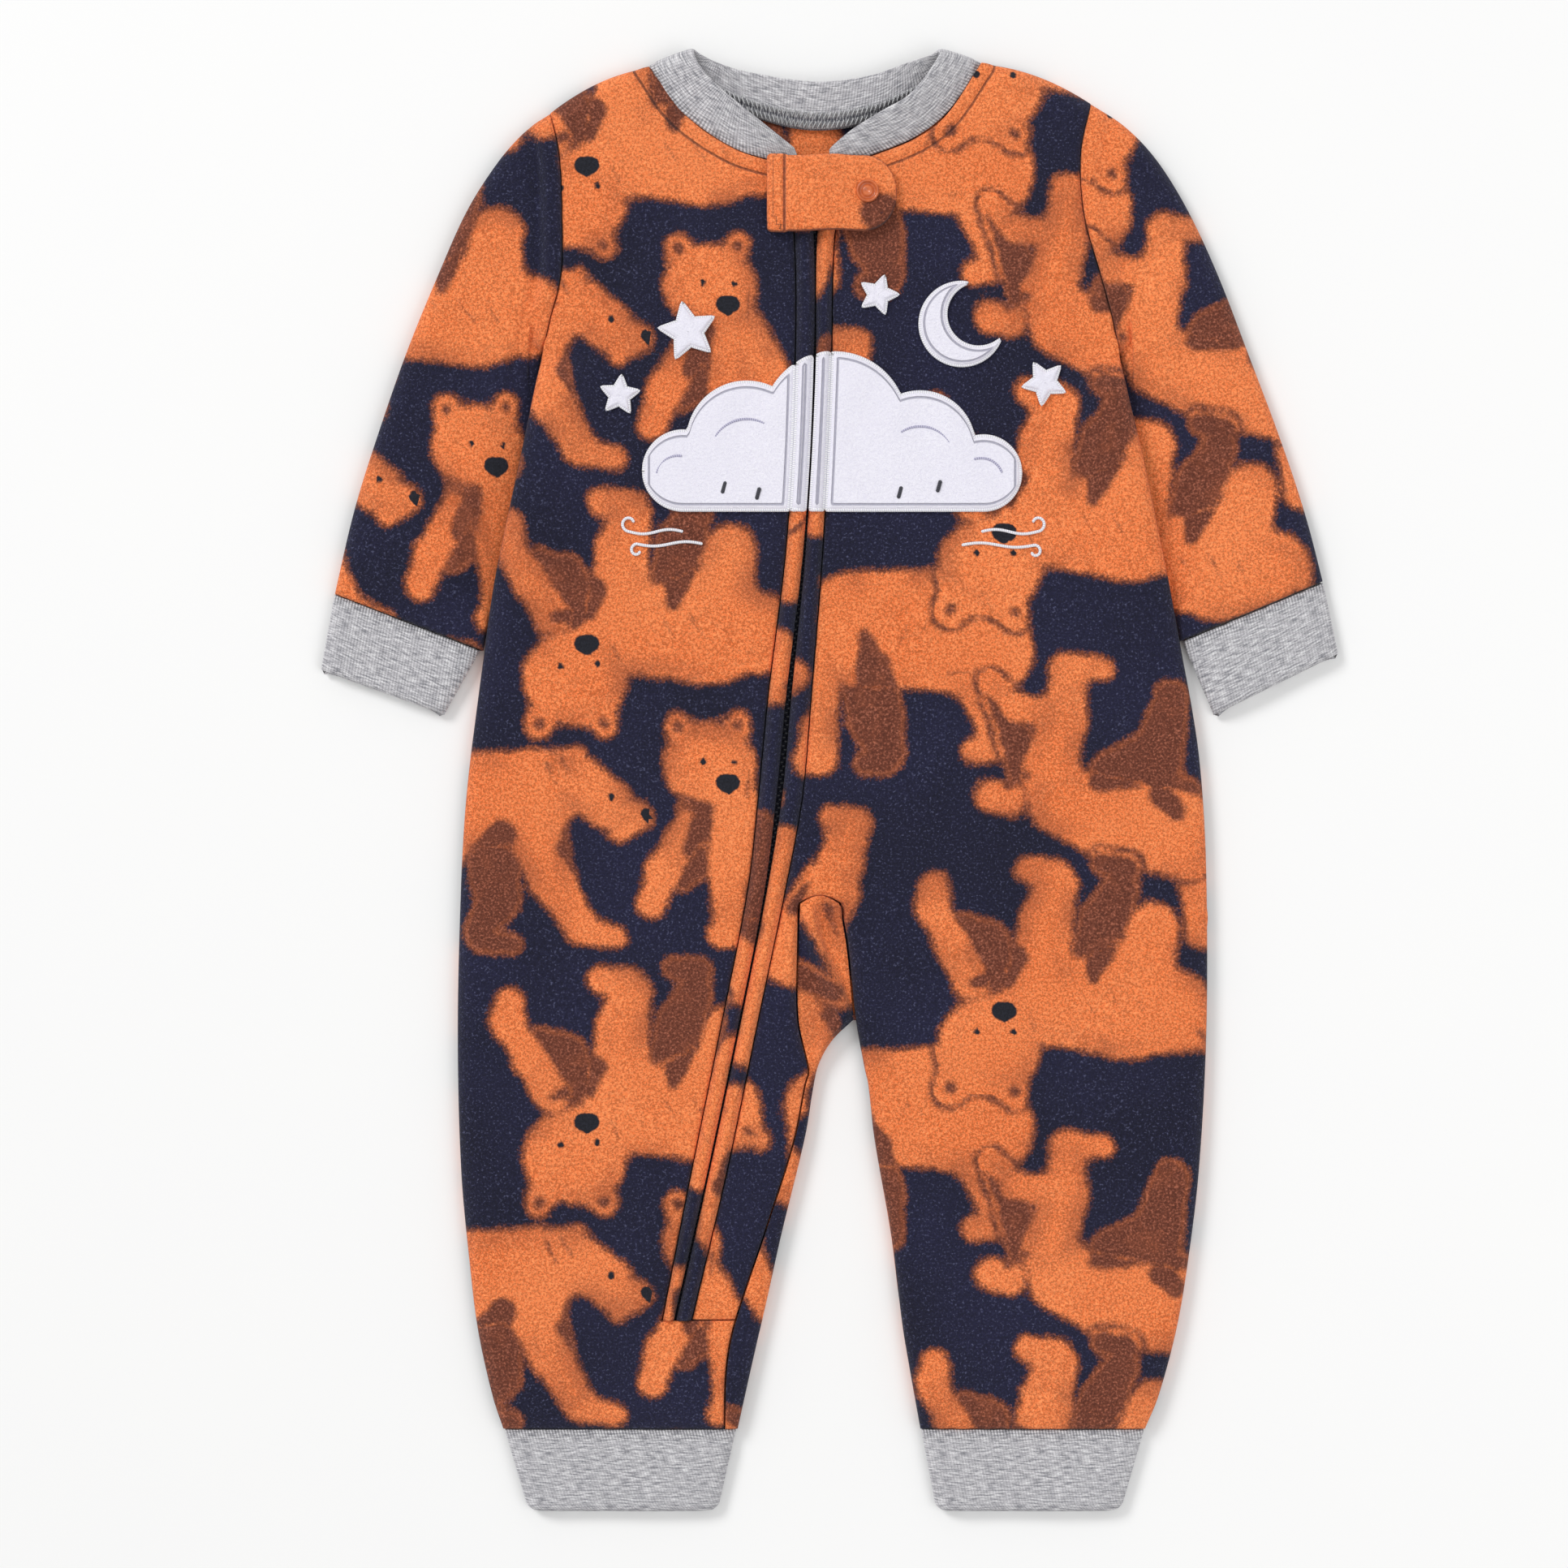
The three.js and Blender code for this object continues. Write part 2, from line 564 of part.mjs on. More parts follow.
const FRONT_SURFACE = bodyLayer({
  neckline: FRONT_NECKLINE,
  halfCounts: [11, 12],
  innerEdges: FRONT_INNER,
  archCount: 2,
  trunkRows: [172, 160, 145, 125, 100, 82, 66, 48, 20, -8, -26, -38, FRONT_INNER[0].y],
  legRows: [-60, -74, -88, -99, -110, -119, -126, -140, -158, -178, -200, -224, -246, -260, ANKLE_SEAM],
  splitTop: { left: -14, right: 2 },
  place: frontPlace,
});
const FRONT_WHOLE = wall(FRONT_SURFACE, -FLEECE, 0).subtract(zipSlot());
const FRONT_HALVES = FRONT_WHOLE.subtract(zipEndSeam());

const BACK_SURFACE = bodyLayer({
  neckline: BACK_NECKLINE,
  halfCounts: [9, 9],
  innerEdges: BACK_INNER,
  archCount: 0,
  trunkRows: [172, 160, 145, 125, 100, 82, 66, 48, 10, -30, -66, -86, CROTCH.y],
  legRows: [-106.3, -116, -126, -146, -174, -204, -236, ANKLE_SEAM],
  splitTop: { left: -6, right: -6 },
  place: backPlace,
});

// The gusset: a web under the crotch arch that goes on as a strip round the left leg's inner edge
function crotchGusset() {
  const rows = [-51, -58, -68, -82, -98.3, -106.3, -112, -119, -126, -146, -166, -186, -213, -239, ANKLE_SEAM];
  const web = 6.3; // height of the web, just above the back
  return surfaceOfRows(
    rows.map((y) => {
      const left = valueAt(FRONT_INNER, "y", "left", y) + 2 * SEAM_GAP;
      const onOutline = y <= CROTCH.y;
      const right = onOutline ? valueAt(BACK_INNER, "y", "left", y) : valueAt(FRONT_INNER, "y", "right", y) - 2.5 * SEAM_GAP;
      const strip = smooth((-y - 104) / 18);
      return [0, 0.25, 0.5, 0.75, 1].map((q) => {
        const x = lerp(left, right, q);
        const ridge = 1.3 * Math.exp(-(((q - 0.5) / 0.22) ** 2)) * (1 - strip);
        const fromEdge = onOutline ? (1 - q) * (right - left) : EDGE_RADIUS;
        const top = lerp(web + ridge, frontTop(x, y) - 0.6, strip);
        const z = lerp(SEAM_LEVEL + SEAM_GAP / 2, top, rounded(fromEdge, EDGE_RADIUS));
        return Object.assign(new THREE.Vector3(x, y, z), { rim: fromEdge < 0.02 });
      });
    }),
  );
}

// A flattened tube: each ring goes over the top from the outer edge to the inner one and back below
function flatTube(rings) {
  return surfaceOfRows(rings, true);
}

function ringPlaces(width, evenSteps) {
  const steps = EDGE_STEPS.map((step) => Math.min(step, width * 0.3));
  const last = steps.length - 1;
  const across = [...steps];
  for (let k = 1; k < evenSteps; k++) across.push(lerp(steps[last], width - steps[last], k / evenSteps));
  for (let k = last; k >= 0; k--) across.push(width - steps[k]);
  return across;
}

// One ring between two plan points, with the height of its top at each place across
function flatRing(outer, inner, evenSteps, heightAt, bow = () => 0) {
  const width = Math.hypot(inner[0] - outer[0], inner[1] - outer[1]);
  const across = ringPlaces(width, evenSteps);
  const point = (d, under) => {
    const q = d / width;
    const shift = bow(q, width);
    const top = heightAt(q, width);
    const seam = Math.min(SEAM_LEVEL, top / 2);
    const share = rounded(Math.min(d, width - d), EDGE_RADIUS);
    const z = under ? seam * (1 - share) : lerp(seam, top, share);
    return new THREE.Vector3(lerp(outer[0], inner[0], q) + shift, lerp(outer[1], inner[1], q), z);
  };
  const over = across.map((d) => point(d, false));
  const under = across.slice(1, -1).reverse().map((d) => point(d, true));
  return [...over, ...under];
}

// Rings of a tube face outwards when they run clockwise along it; the other hand is turned round
const facing = (rings, side) => (side === "left" ? rings : rings.map((ring) => ring.slice().reverse()));

const ARMHOLE_GAP = 0.8;
const SLEEVE_STEPS = [0, 0.25, 0.55, 0.9, 1.4, 2, 3, 4, 5, 6, 7, 7.6, 8];
const SLEEVE_ROLL = { left: 1, right: 0.55 }; // the sleeve head's roll beside the armhole seam

function sleeve(side) {
  const way = side === "left" ? -1 : 1;
  const table = SLEEVE_SECTIONS[side].map((row, step) => ({ ...row, step }));
  const outerAt = (step, column) => valueAt(table, "step", column, step);
  const innerAt = (step) => {
    const y = outerAt(step, "innerY");
    const under = tuck("under", y);
    return [sideEdge(side, y) - way * under, y];
  };
  const first = { outer: [outerAt(0, "x") + way * SEAM_GAP, outerAt(0, "y")], inner: innerAt(0) };
  // How far the armhole end is bowed to follow the body's edge
  const armholeBow = (q) => {
    const y = lerp(first.outer[1], first.inner[1], q);
    return sideEdge(side, y) + way * ARMHOLE_GAP - lerp(first.outer[0], first.inner[0], q);
  };
  const rings = SLEEVE_STEPS.map((step) => {
    const outer = [outerAt(step, "x") + (step ? 0 : way * SEAM_GAP), outerAt(step, "y")];
    const inner = innerAt(step);
    const fade = 1 - smooth(step / 2.2);
    const hook = Math.min(EDGE_RADIUS, EDGE_RADIUS * step);
    // Each ring turns square to the inner edge as it comes to it
    const bow = (q, width) => {
      const fromInner = (1 - q) * width;
      const across = (fromInner * Math.abs(outer[0] - inner[0])) / width;
      return armholeBow(q) * fade + way * Math.max(0, Math.min(fromInner, hook) * q - across);
    };
    const margin = smooth(step / 1.2) * (1 - smooth((step - 7.2) / 0.8));
    const heightAt = (q, width) => {
      const roll = Math.sin(Math.PI * clamp01(q)) ** 0.5 * SLEEVE_ROLL[side];
      const armhole = roll * (1.1 * Math.exp(-(((step - 0.5) / 0.28) ** 2)) - 2.1 * Math.exp(-(((step - 1.1) / 0.3) ** 2)));
      const atSeam = ARMHOLE_DIP * Math.exp(-((step / 0.12) ** 2));
      const nearInner = 1 - smooth(((1 - q) * width - 6) / 16);
      const cuffDip = 1.2 * smooth((step - 7.5) / 0.5);
      return lerp(TOP - cuffDip + armhole - atSeam, SLEEVE_MARGIN_TOP, nearInner * margin);
    };
    return flatRing(outer, inner, 5, heightAt, bow);
  });
  return flatTube(facing(rings, side));
}

function wristCuff(side) {
  const { seam, end } = WRIST_CUFFS[side];
  const rings = [0, 0.35, 0.7, 1].map((t) => {
    const at = (edge) => [lerp(seam[edge][0], end[edge][0], t), lerp(seam[edge][1], end[edge][1], t)];
    return flatRing(at("outer"), at("inner"), 3, () => CUFF_TOP);
  });
  return flatTube(facing(rings, side));
}

function ankleCuff(side) {
  const { seam, end } = ANKLE_CUFFS[side];
  const rows = [ANKLE_SEAM - SEAM_GAP, -278, -290, ANKLE_END + CUFF_CORNER, ANKLE_END + CUFF_CORNER * 0.25, ANKLE_END];
  const rings = rows.map((y) => {
    const t = (ANKLE_SEAM - y) / (ANKLE_SEAM - ANKLE_END);
    const corner = CUFF_CORNER * (1 - rounded(y - ANKLE_END, CUFF_CORNER));
    const left = lerp(seam[0], end[0], t) + corner;
    const right = lerp(seam[1], end[1], t) - corner;
    return flatRing([left, y], [right, y], 5, () => CUFF_TOP);
  });
  return flatTube(rings);
}

// The collar: a band between its seam and its rim, fuller in the middle where the rib is doubled
function collar() {
  const curve = (key) =>
    new THREE.CatmullRomCurve3(COLLAR.map((row) => new THREE.Vector3(...row[key])), false, "centripetal");
  const [seam, rim] = [curve("seam"), curve("rim")];
  const count = 46;
  const rows = [];
  for (let i = 0; i <= count; i++) {
    const [a, b] = [seam.getPoint(i / count), rim.getPoint(i / count)];
    rows.push([0, 0.33, 0.67, 1].map((q) => a.clone().lerp(b, q)));
  }
  return surfaceOfRows(rows);
}

// One rolled welt beside the zip: a low half-round strip on the front's edge, or its places across asked for
function welt(side, across = [0, 0.18, 0.5, 0.82, 1]) {
  const way = side === "left" ? -1 : 1;
  return surfaceOfRows(
    ZIP_ROWS.map((y) => {
      const zip = zipAt(y);
      const near = zip.x + (way * zip.gap) / 2;
      const far = near + way * zip[side];
      const ends = way < 0 ? [far, near] : [near, far];
      return across.map((q) => {
        const x = lerp(ends[0], ends[1], q);
        const roll = lerp(-0.7, WELT_RISE, Math.sin(Math.PI * q) ** 0.6);
        return new THREE.Vector3(x, y, frontTop(x, y) + roll);
      });
    }),
  );
}

// The zip's tape, under both welts, raised down its middle where the teeth are
function zipTape() {
  return surfaceOfRows(
    [...ZIP_ROWS, ZIP_END - 4].map((y) => {
      const zip = zipAt(Math.max(y, ZIP_END));
      return [-1, -0.2, 0, 0.2, 1].map((q) => {
        const x = zip.x + q * TAPE_HALF_WIDTH;
        return new THREE.Vector3(x, y, frontTop(zip.x, y) - FLEECE - 1.1 + 0.7 * (1 - Math.abs(q)) ** 6);
      });
    }),
  );
}

// The slider body with its pull lying down over the closed zip
function slider() {
  const x = zipAt(SLIDER.y).x;
  const block = (width, length, bottom, top, y) =>
    solidOf(new THREE.BoxGeometry(width, length, top - bottom).translate(x, y, (top + bottom) / 2));
  const pullTop = SLIDER.top + 0.6 + PULL.thickness;
  const body = block(SLIDER.width, SLIDER.length, SLIDER.bottom, SLIDER.top, SLIDER.y);
  const nose = block(SLIDER.width * 0.6, 2, SLIDER.bottom, SLIDER.top - 0.6, SLIDER.y - SLIDER.length / 2 - 0.6);
  const bridge = block(1.6, 5, SLIDER.top - 0.2, pullTop - 0.2, SLIDER.y);
  const pull = block(PULL.width, PULL.length, pullTop - PULL.thickness, pullTop, SLIDER.y - PULL.length / 2 + 1);
  return body.add(nose).add(bridge).add(pull);
}

// The snap tab: square at the stitched end, round at the snap end, arched over the zip
function snapTab() {
  const length = TAB.right - TAB.left;
  const places = [0, 0.06, 0.13, 0.17, 0.26, 0.38, 0.5, 0.62, 0.73, 0.81, 0.88, 0.94, 0.98, 0.997];
  const rows = places.map((t) => {
    const x = lerp(TAB.left, TAB.right, t);
    const inRound = clamp01((x - TAB.roundFrom) / (TAB.right - TAB.roundFrom));
    const half = TAB.halfWidth * (1 - inRound ** 2.3) ** 0.5 + (x < TAB.left + TAB_HEM ? 0.5 : 0);
    return [1, 0.86, 0.5, 0, -0.5, -0.86, -1].map((q) => ({ x, q, half, y: TAB.middle + q * half }));
  });
  const point = ({ x, y, q, half }, upper) => {
    const base = valueAt(TAB_BOTTOM, "x", "z", x) + TAB_COLLAR_RISE * clamp01((q + 1) / 2) * (x < 0 ? 1 : 0.3);
    const fromRim = Math.min((1 - Math.abs(q)) * half, x - TAB.left, TAB.right - x);
    const hemGroove = 0.9 * Math.exp(-(((x - TAB.left - TAB_HEM) / 1) ** 2));
    const thick = lerp(TAB_EDGE, TAB_THICKNESS, rounded(fromRim, 3)) - hemGroove * rounded(fromRim, 2);
    return new THREE.Vector3(x, y, base + (upper ? thick : 0));
  };
  const [top, bottom] = [true, false].map((upper) => rows.map((row) => row.map((p) => point(p, upper))));
  return closedBetween(top, bottom);
}

// A closed solid between an upper and a lower grid of points
function closedBetween(top, bottom) {
  const position = [...top.flat(), ...bottom.flat()].flatMap((p) => p.toArray());
  const [rows, columns] = [top.length, top[0].length];
  const count = rows * columns;
  const at = (i, j) => i * columns + j;
  const index = [];
  const quad = (a, b, c, d) => index.push(a, b, c, a, c, d);
  for (let i = 0; i < rows - 1; i++)
    for (let j = 0; j < columns - 1; j++) {
      quad(at(i, j), at(i, j + 1), at(i + 1, j + 1), at(i + 1, j));
      quad(count + at(i, j), count + at(i + 1, j), count + at(i + 1, j + 1), count + at(i, j + 1));
    }
  const side = (a, b) => quad(b, a, count + a, count + b);
  for (let i = 0; i < rows - 1; i++) {
    side(at(i + 1, 0), at(i, 0));
    side(at(i, columns - 1), at(i + 1, columns - 1));
  }
  for (let j = 0; j < columns - 1; j++) {
    side(at(0, j), at(0, j + 1));
    side(at(rows - 1, j + 1), at(rows - 1, j));
  }
  const geometry = new THREE.BufferGeometry().setAttribute("position", new THREE.Float32BufferAttribute(position, 3));
  const solid = solidOf(geometry.setIndex(index));
  if (solid.volume() > 0) return solid;
  for (let i = 0; i < index.length; i += 3) [index[i + 1], index[i + 2]] = [index[i + 2], index[i + 1]];
  return solidOf(geometry.setIndex(index));
}

// A turned piece about a vertical axis, from its profile of radius and height
function turned(profile, x, y, z) {
  const points = profile.map(([r, h]) => new THREE.Vector2(r, h));
  return solidOf(new THREE.LatheGeometry(points, 24).rotateX(Math.PI / 2).translate(x, y, z));
}

function snapCap() {
  const { x, y, radius: r, height: h } = SNAP;
  const z = valueAt(TAB_BOTTOM, "x", "z", x) + TAB_COLLAR_RISE * 0.17 + TAB_THICKNESS + SEAM_GAP;
  return turned([[0, 0], [r, 0], [r, h * 0.55], [r * 0.9, h], [r * 0.74, h * 0.9], [r * 0.66, h * 0.35], [r * 0.42, h * 0.4], [r * 0.34, h * 0.85], [0, h]], x, y, z);
}

function snapStud() {
  const { x, y, studRadius: r, studHeight: h } = SNAP;
  return turned([[0, 0], [r, 0], [r, h * 0.6], [r * 0.55, h * 0.6], [r * 0.5, h], [0, h]], x, y, TOP + SEAM_GAP);
}

// Plan outlines of the felt shapes, as tall prisms
function diskPrism({ x, y, r }) {
  return solidOf(new THREE.CylinderGeometry(r, r, 60, 28).rotateX(Math.PI / 2).translate(x, y, 0));
}

function cloudPrism() {
  const { left, right, bottom, top } = CLOUD_BASE;
  const base = solidOf(new THREE.BoxGeometry(right - left, top - bottom, 60).translate((left + right) / 2, (top + bottom) / 2, 0));
  return CLOUD_PUFFS.reduce((made, puff) => made.add(diskPrism(puff)), base);
}

function moonPrism() {
  return diskPrism(MOON).subtract(diskPrism({ x: MOON.biteX, y: MOON.biteY, r: MOON.biteR }));
}

function starPrism({ x, y, r, turn }) {
  const points = Array.from({ length: 10 }, (_, k) => {
    const angle = turn + Math.PI / 2 + (k * Math.PI) / 5;
    const reach = k % 2 ? r * STAR_WAIST : r;
    return new THREE.Vector2(x + reach * Math.cos(angle), y + reach * Math.sin(angle));
  });
  return solidOf(new THREE.ExtrudeGeometry(new THREE.Shape(points), { depth: 60, bevelEnabled: false }).translate(0, 0, -20));
}

const FELT_ON_FRONT = wall(FRONT_SURFACE, SEAM_GAP, SEAM_GAP + FELT).subtract(zipSlot());
const feltOnWelt = (side) => wall(welt(side, [0.18, 0.5, 0.82]), SEAM_GAP, SEAM_GAP + FELT);

const COLOURS = {
  fleece: { color: 0xc8692f, roughness: 0.95 },
  rib: { color: 0xa9aab0, roughness: 0.9 },
  felt: { color: 0xe6e4ee, roughness: 0.95 },
  tape: { color: 0x15161f, roughness: 0.8 },
  metal: { color: 0x2a2c38, roughness: 0.4 },
  snap: { color: 0xc4652d, roughness: 0.45 },
};

const onesie = new THREE.Group();

function place(name, solid, finish) {
  const mesh = new THREE.Mesh(geometryOf(solid), new THREE.MeshStandardMaterial({ ...COLOURS[finish], metalness: 0 }));
  mesh.name = name;
  onesie.add(mesh);
}

place("back", wall(BACK_SURFACE, 0, FLEECE), "fleece");
place("front_left", bodyOfSide(FRONT_HALVES, "left"), "fleece");
place("front_right", bodyOfSide(FRONT_HALVES, "right"), "fleece");
place("gusset", wall(crotchGusset(), -FLEECE, 0), "fleece");
for (const side of ["left", "right"]) {
  place(`sleeve_${side}`, wall(sleeve(side), -2.2, 0), "fleece");
  place(`wrist_cuff_${side}`, wall(wristCuff(side), -RIB, 0), "rib");
  place(`ankle_cuff_${side}`, wall(ankleCuff(side), -RIB, 0), "rib");
  place(`zip_welt_${side}`, wall(welt(side), -1.9, 0), "fleece");
  place(`cloud_${side}`, bodyOfSide(FELT_ON_FRONT.intersect(cloudPrism()), side), "felt");
  place(`cloud_on_welt_${side}`, feltOnWelt(side).intersect(cloudPrism()), "felt");
}
place("collar", wall(collar(), -RIB / 2, RIB / 2), "rib");
place("zip_tape", wall(zipTape(), -TAPE, 0), "tape");
place("zip_slider", slider(), "metal");
place("snap_tab", snapTab(), "fleece");
place("snap_cap", snapCap(), "snap");
place("snap_stud", snapStud(), "snap");
place("moon", FELT_ON_FRONT.intersect(moonPrism()), "felt");
for (const star of STARS) place(star.name, FELT_ON_FRONT.intersect(starPrism(star)), "felt");

export default onesie;
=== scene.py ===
# A baby's fleece onesie laid flat with its front up: cloth shells, rib trims, zip, snap tab and felt shapes.
# Shapes are worked out in millimetres and go into Blender in metres.
import bpy
import numpy as np
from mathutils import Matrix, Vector


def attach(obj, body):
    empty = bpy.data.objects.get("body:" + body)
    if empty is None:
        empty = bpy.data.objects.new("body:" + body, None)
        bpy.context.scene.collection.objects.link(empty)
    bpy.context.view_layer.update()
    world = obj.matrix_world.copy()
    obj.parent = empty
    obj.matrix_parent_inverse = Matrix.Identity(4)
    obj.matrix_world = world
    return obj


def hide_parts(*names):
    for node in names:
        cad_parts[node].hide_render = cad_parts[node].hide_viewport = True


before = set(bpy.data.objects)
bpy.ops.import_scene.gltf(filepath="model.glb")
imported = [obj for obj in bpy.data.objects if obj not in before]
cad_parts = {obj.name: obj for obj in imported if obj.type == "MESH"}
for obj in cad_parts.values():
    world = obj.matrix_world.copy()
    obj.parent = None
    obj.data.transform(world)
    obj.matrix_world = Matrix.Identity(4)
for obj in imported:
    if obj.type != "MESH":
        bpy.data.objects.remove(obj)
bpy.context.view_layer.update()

scene = bpy.context.scene
print("frame loaded:", len(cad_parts), "nodes")

view = dict(lens=85, sensor=36, centre=(-18.7, -1.3), frameWidth=644, clothHeight=4.5)


def makeCamera():
    # distance = frame width times lens over sensor, straight above the middle of the frame
    data = bpy.data.cameras.new("camera")
    data.lens, data.sensor_width = view["lens"], view["sensor"]
    camera = bpy.data.objects.new("camera", data)
    scene.collection.objects.link(camera)
    height = view["frameWidth"] * view["lens"] / view["sensor"] + view["clothHeight"]
    camera.location = (view["centre"][0] / 1000, view["centre"][1] / 1000, height / 1000)
    scene.camera = camera


makeCamera()


# Small maths that every shape uses

def lerp(a, b, t):
    # straight line from a at t 0 to b at t 1
    return a + (b - a) * t


def smooth(t):
    # 0 to 1 along 3 t squared less 2 t cubed, level at both ends
    t = np.clip(t, 0, 1)
    return t * t * (3 - 2 * t)


def rounded(d, radius):
    # height share of a quarter circle at distance d in from its edge
    return np.sqrt(1 - (1 - np.clip(d / radius, 0, 1)) ** 2)


def hump(d, width):
    # bell curve: e to the minus square of d over the width
    return np.exp(-(d / width) ** 2)


def follow(table, by, column):
    # smooth curve through a table's rows: cubic pieces, each slope taken from the rows on either side
    knots, values = np.array(table[by], float), np.array(table[column], float)
    if knots[0] > knots[-1]:
        knots, values = knots[::-1], values[::-1]
    slopes = np.gradient(values)
    slopes[1:-1] = (values[2:] - values[:-2]) / (knots[2:] - knots[:-2])
    slopes[0] = (values[1] - values[0]) / (knots[1] - knots[0])
    slopes[-1] = (values[-1] - values[-2]) / (knots[-1] - knots[-2])

    def at(k):
        # the cubic of the piece that k lies on, from its ends' values and slopes
        k = np.clip(np.asarray(k, float), knots[0], knots[-1])
        i = np.clip(np.searchsorted(knots, k) - 1, 0, len(knots) - 2)
        span = knots[i + 1] - knots[i]
        t = (k - knots[i]) / span
        return ((2 * t ** 3 - 3 * t ** 2 + 1) * values[i] + (t ** 3 - 2 * t ** 2 + t) * span * slopes[i]
                + (3 * t ** 2 - 2 * t ** 3) * values[i + 1] + (t ** 3 - t ** 2) * span * slopes[i + 1])
    return at


def lineThrough(points, count, power=0.5):
    # count points on a smooth curve through the points, even along it
    points = np.array(points, float)
    knots = np.r_[0, np.cumsum(np.linalg.norm(np.diff(points, axis=0), axis=1) ** power)]
    fine = np.linspace(0, knots[-1], 40 * len(points))
    columns = [follow(dict(k=knots, v=points[:, c]), "k", "v")(fine) for c in range(points.shape[1])]
    return evenAlong(np.stack(columns, 1), count)


def evenAlong(line, count):
    # count points at even steps of the line's own length
    walked = lengthAlong(line)
    at = np.linspace(0, walked[-1], count)
    return np.stack([np.interp(at, walked, line[:, c]) for c in range(line.shape[1])], 1)


def lengthAlong(line):
    # how far each point lies along the line, from its first point
    return np.r_[0, np.cumsum(np.linalg.norm(np.diff(line, axis=0), axis=1))]


def distanceTo(line, x, y):
    # least plan distance from each point to a line of short pieces
    least = np.full(np.shape(x), 1e3)
    for (ax, ay), (bx, by) in zip(line[:-1, :2], line[1:, :2]):
        dx, dy = bx - ax, by - ay
        t = np.clip(((x - ax) * dx + (y - ay) * dy) / (dx * dx + dy * dy + 1e-9), 0, 1)
        least = np.minimum(least, np.hypot(x - ax - t * dx, y - ay - t * dy))
    return least


edgeSteps = np.array([0, 0.4, 1.0, 1.9, 3.1, 4.6, 6.2, 8.0])


def spread(width, count, start=True, end=True):
    # distances across each row: close together at the marked ends, even between them
    width = np.atleast_1d(np.asarray(width, float))[:, None]
    steps = edgeSteps * np.minimum(1, width / 30)
    head = steps if start else 0 * width
    tail = width - steps[:, ::-1] if end else width
    inside = count - head.shape[1] - tail.shape[1] + 2
    middle = lerp(head[:, -1:], tail[:, :1], np.linspace(0, 1, inside + 1)[None])
    return np.hstack([head[:, :-1], middle, tail[:, 1:]])


# Meshes from grids

def faceNormals(points, quads):
    # cross product of each face's two diagonals
    return np.cross(points[quads[:, 2]] - points[quads[:, 0]], points[quads[:, 3]] - points[quads[:, 1]])


def gridQuads(rows, columns, around=False, keep=None):
    # faces between neighbouring rows and columns; around joins the last column to the first
    ids = np.arange(rows * columns).reshape(rows, columns)
    if around:
        ids = np.hstack([ids, ids[:, :1]])
    quads = np.stack([ids[:-1, :-1], ids[1:, :-1], ids[1:, 1:], ids[:-1, 1:]], -1)
    return quads.reshape(-1, 4) if keep is None else quads[keep]


def capQuads(base, sides, way):
    # a ring closed flat by strips between places that lie opposite each other
    k = np.arange(sides // 2 - 1)
    return (base + np.stack([k, k + 1, sides - 2 - k, sides - 1 - k], 1))[:, ::way]


def closedTube(rows, sides, way):
    # rings joined into a tube, with both ends capped; way -1 turns the faces over
    last = (rows - 1) * sides
    return np.vstack([gridQuads(rows, sides, True)[:, ::way], capQuads(0, sides, way),
                      capQuads(last, sides, -way)])


def twoSides(quads, count):
    # the faces, the same faces turned over on the second sheet of points, and a rim along the open edges
    heads, tails = quads.reshape(-1), np.roll(quads, -1, axis=1).reshape(-1)
    single = ~np.isin(heads.astype(np.int64) * count + tails, tails.astype(np.int64) * count + heads)
    a, b = heads[single], tails[single]
    return np.vstack([quads, quads[:, ::-1] + count, np.stack([b, a, a + count, b + count], 1)])


def shellFrom(points, quads, thick):
    # the surface, the same surface moved in along its normals by the cloth's thickness, and a rim between
    normals = np.zeros_like(points)
    flat = faceNormals(points, quads)
    for corner in range(4):
        np.add.at(normals, quads[:, corner], flat)
    normals /= np.linalg.norm(normals, axis=1, keepdims=True) + 1e-12
    inner = points - normals * np.reshape(thick, (-1, 1))
    return np.vstack([points, inner]), twoSides(quads, len(points))


def meshObject(name, points, quads, fields=None, uv=None):
    # a mesh in metres from points in millimetres, with a number for each point and a knit map
    used, back = np.unique(quads, return_inverse=True)
    quads = back.reshape(quads.shape)
    points = points[used]
    mesh = bpy.data.meshes.new(name)
    mesh.vertices.add(len(points))
    mesh.vertices.foreach_set("co", (points / 1000).astype(np.float32).ravel())
    mesh.loops.add(quads.size)
    mesh.loops.foreach_set("vertex_index", quads.astype(np.int32).ravel())
    mesh.polygons.add(len(quads))
    mesh.polygons.foreach_set("loop_start", np.arange(0, quads.size, 4, dtype=np.int32))
    mesh.polygons.foreach_set("use_smooth", np.ones(len(quads), bool))
    mesh.update(calc_edges=True)
    for key, values in (fields or {}).items():
        mesh.attributes.new(key, "FLOAT", "POINT").data.foreach_set("value", values[used].astype(np.float32))
    if uv is not None:
        layer = mesh.uv_layers.new(name="knit")
        layer.data.foreach_set("uv", (uv[used][quads.ravel()]).astype(np.float32).ravel())
    mesh.validate()
    made = bpy.data.objects.new(name, mesh)
    scene.collection.objects.link(made)
    return made


def finishPiece(made, nodes, material):
    # material, body, and the solids that the piece stands for
    made.data.materials.append(material)
    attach(made, "root")
    if nodes:
        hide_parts(*nodes)
    return made


def stitchField(distance):
    # 100 on the dark line, a millimetre more or less on either side of it: a stitched groove with painted
    # shade, and painted shadow alone at the tab's rim and the back of the collar
    return 100 + np.clip(distance, -20, 20)


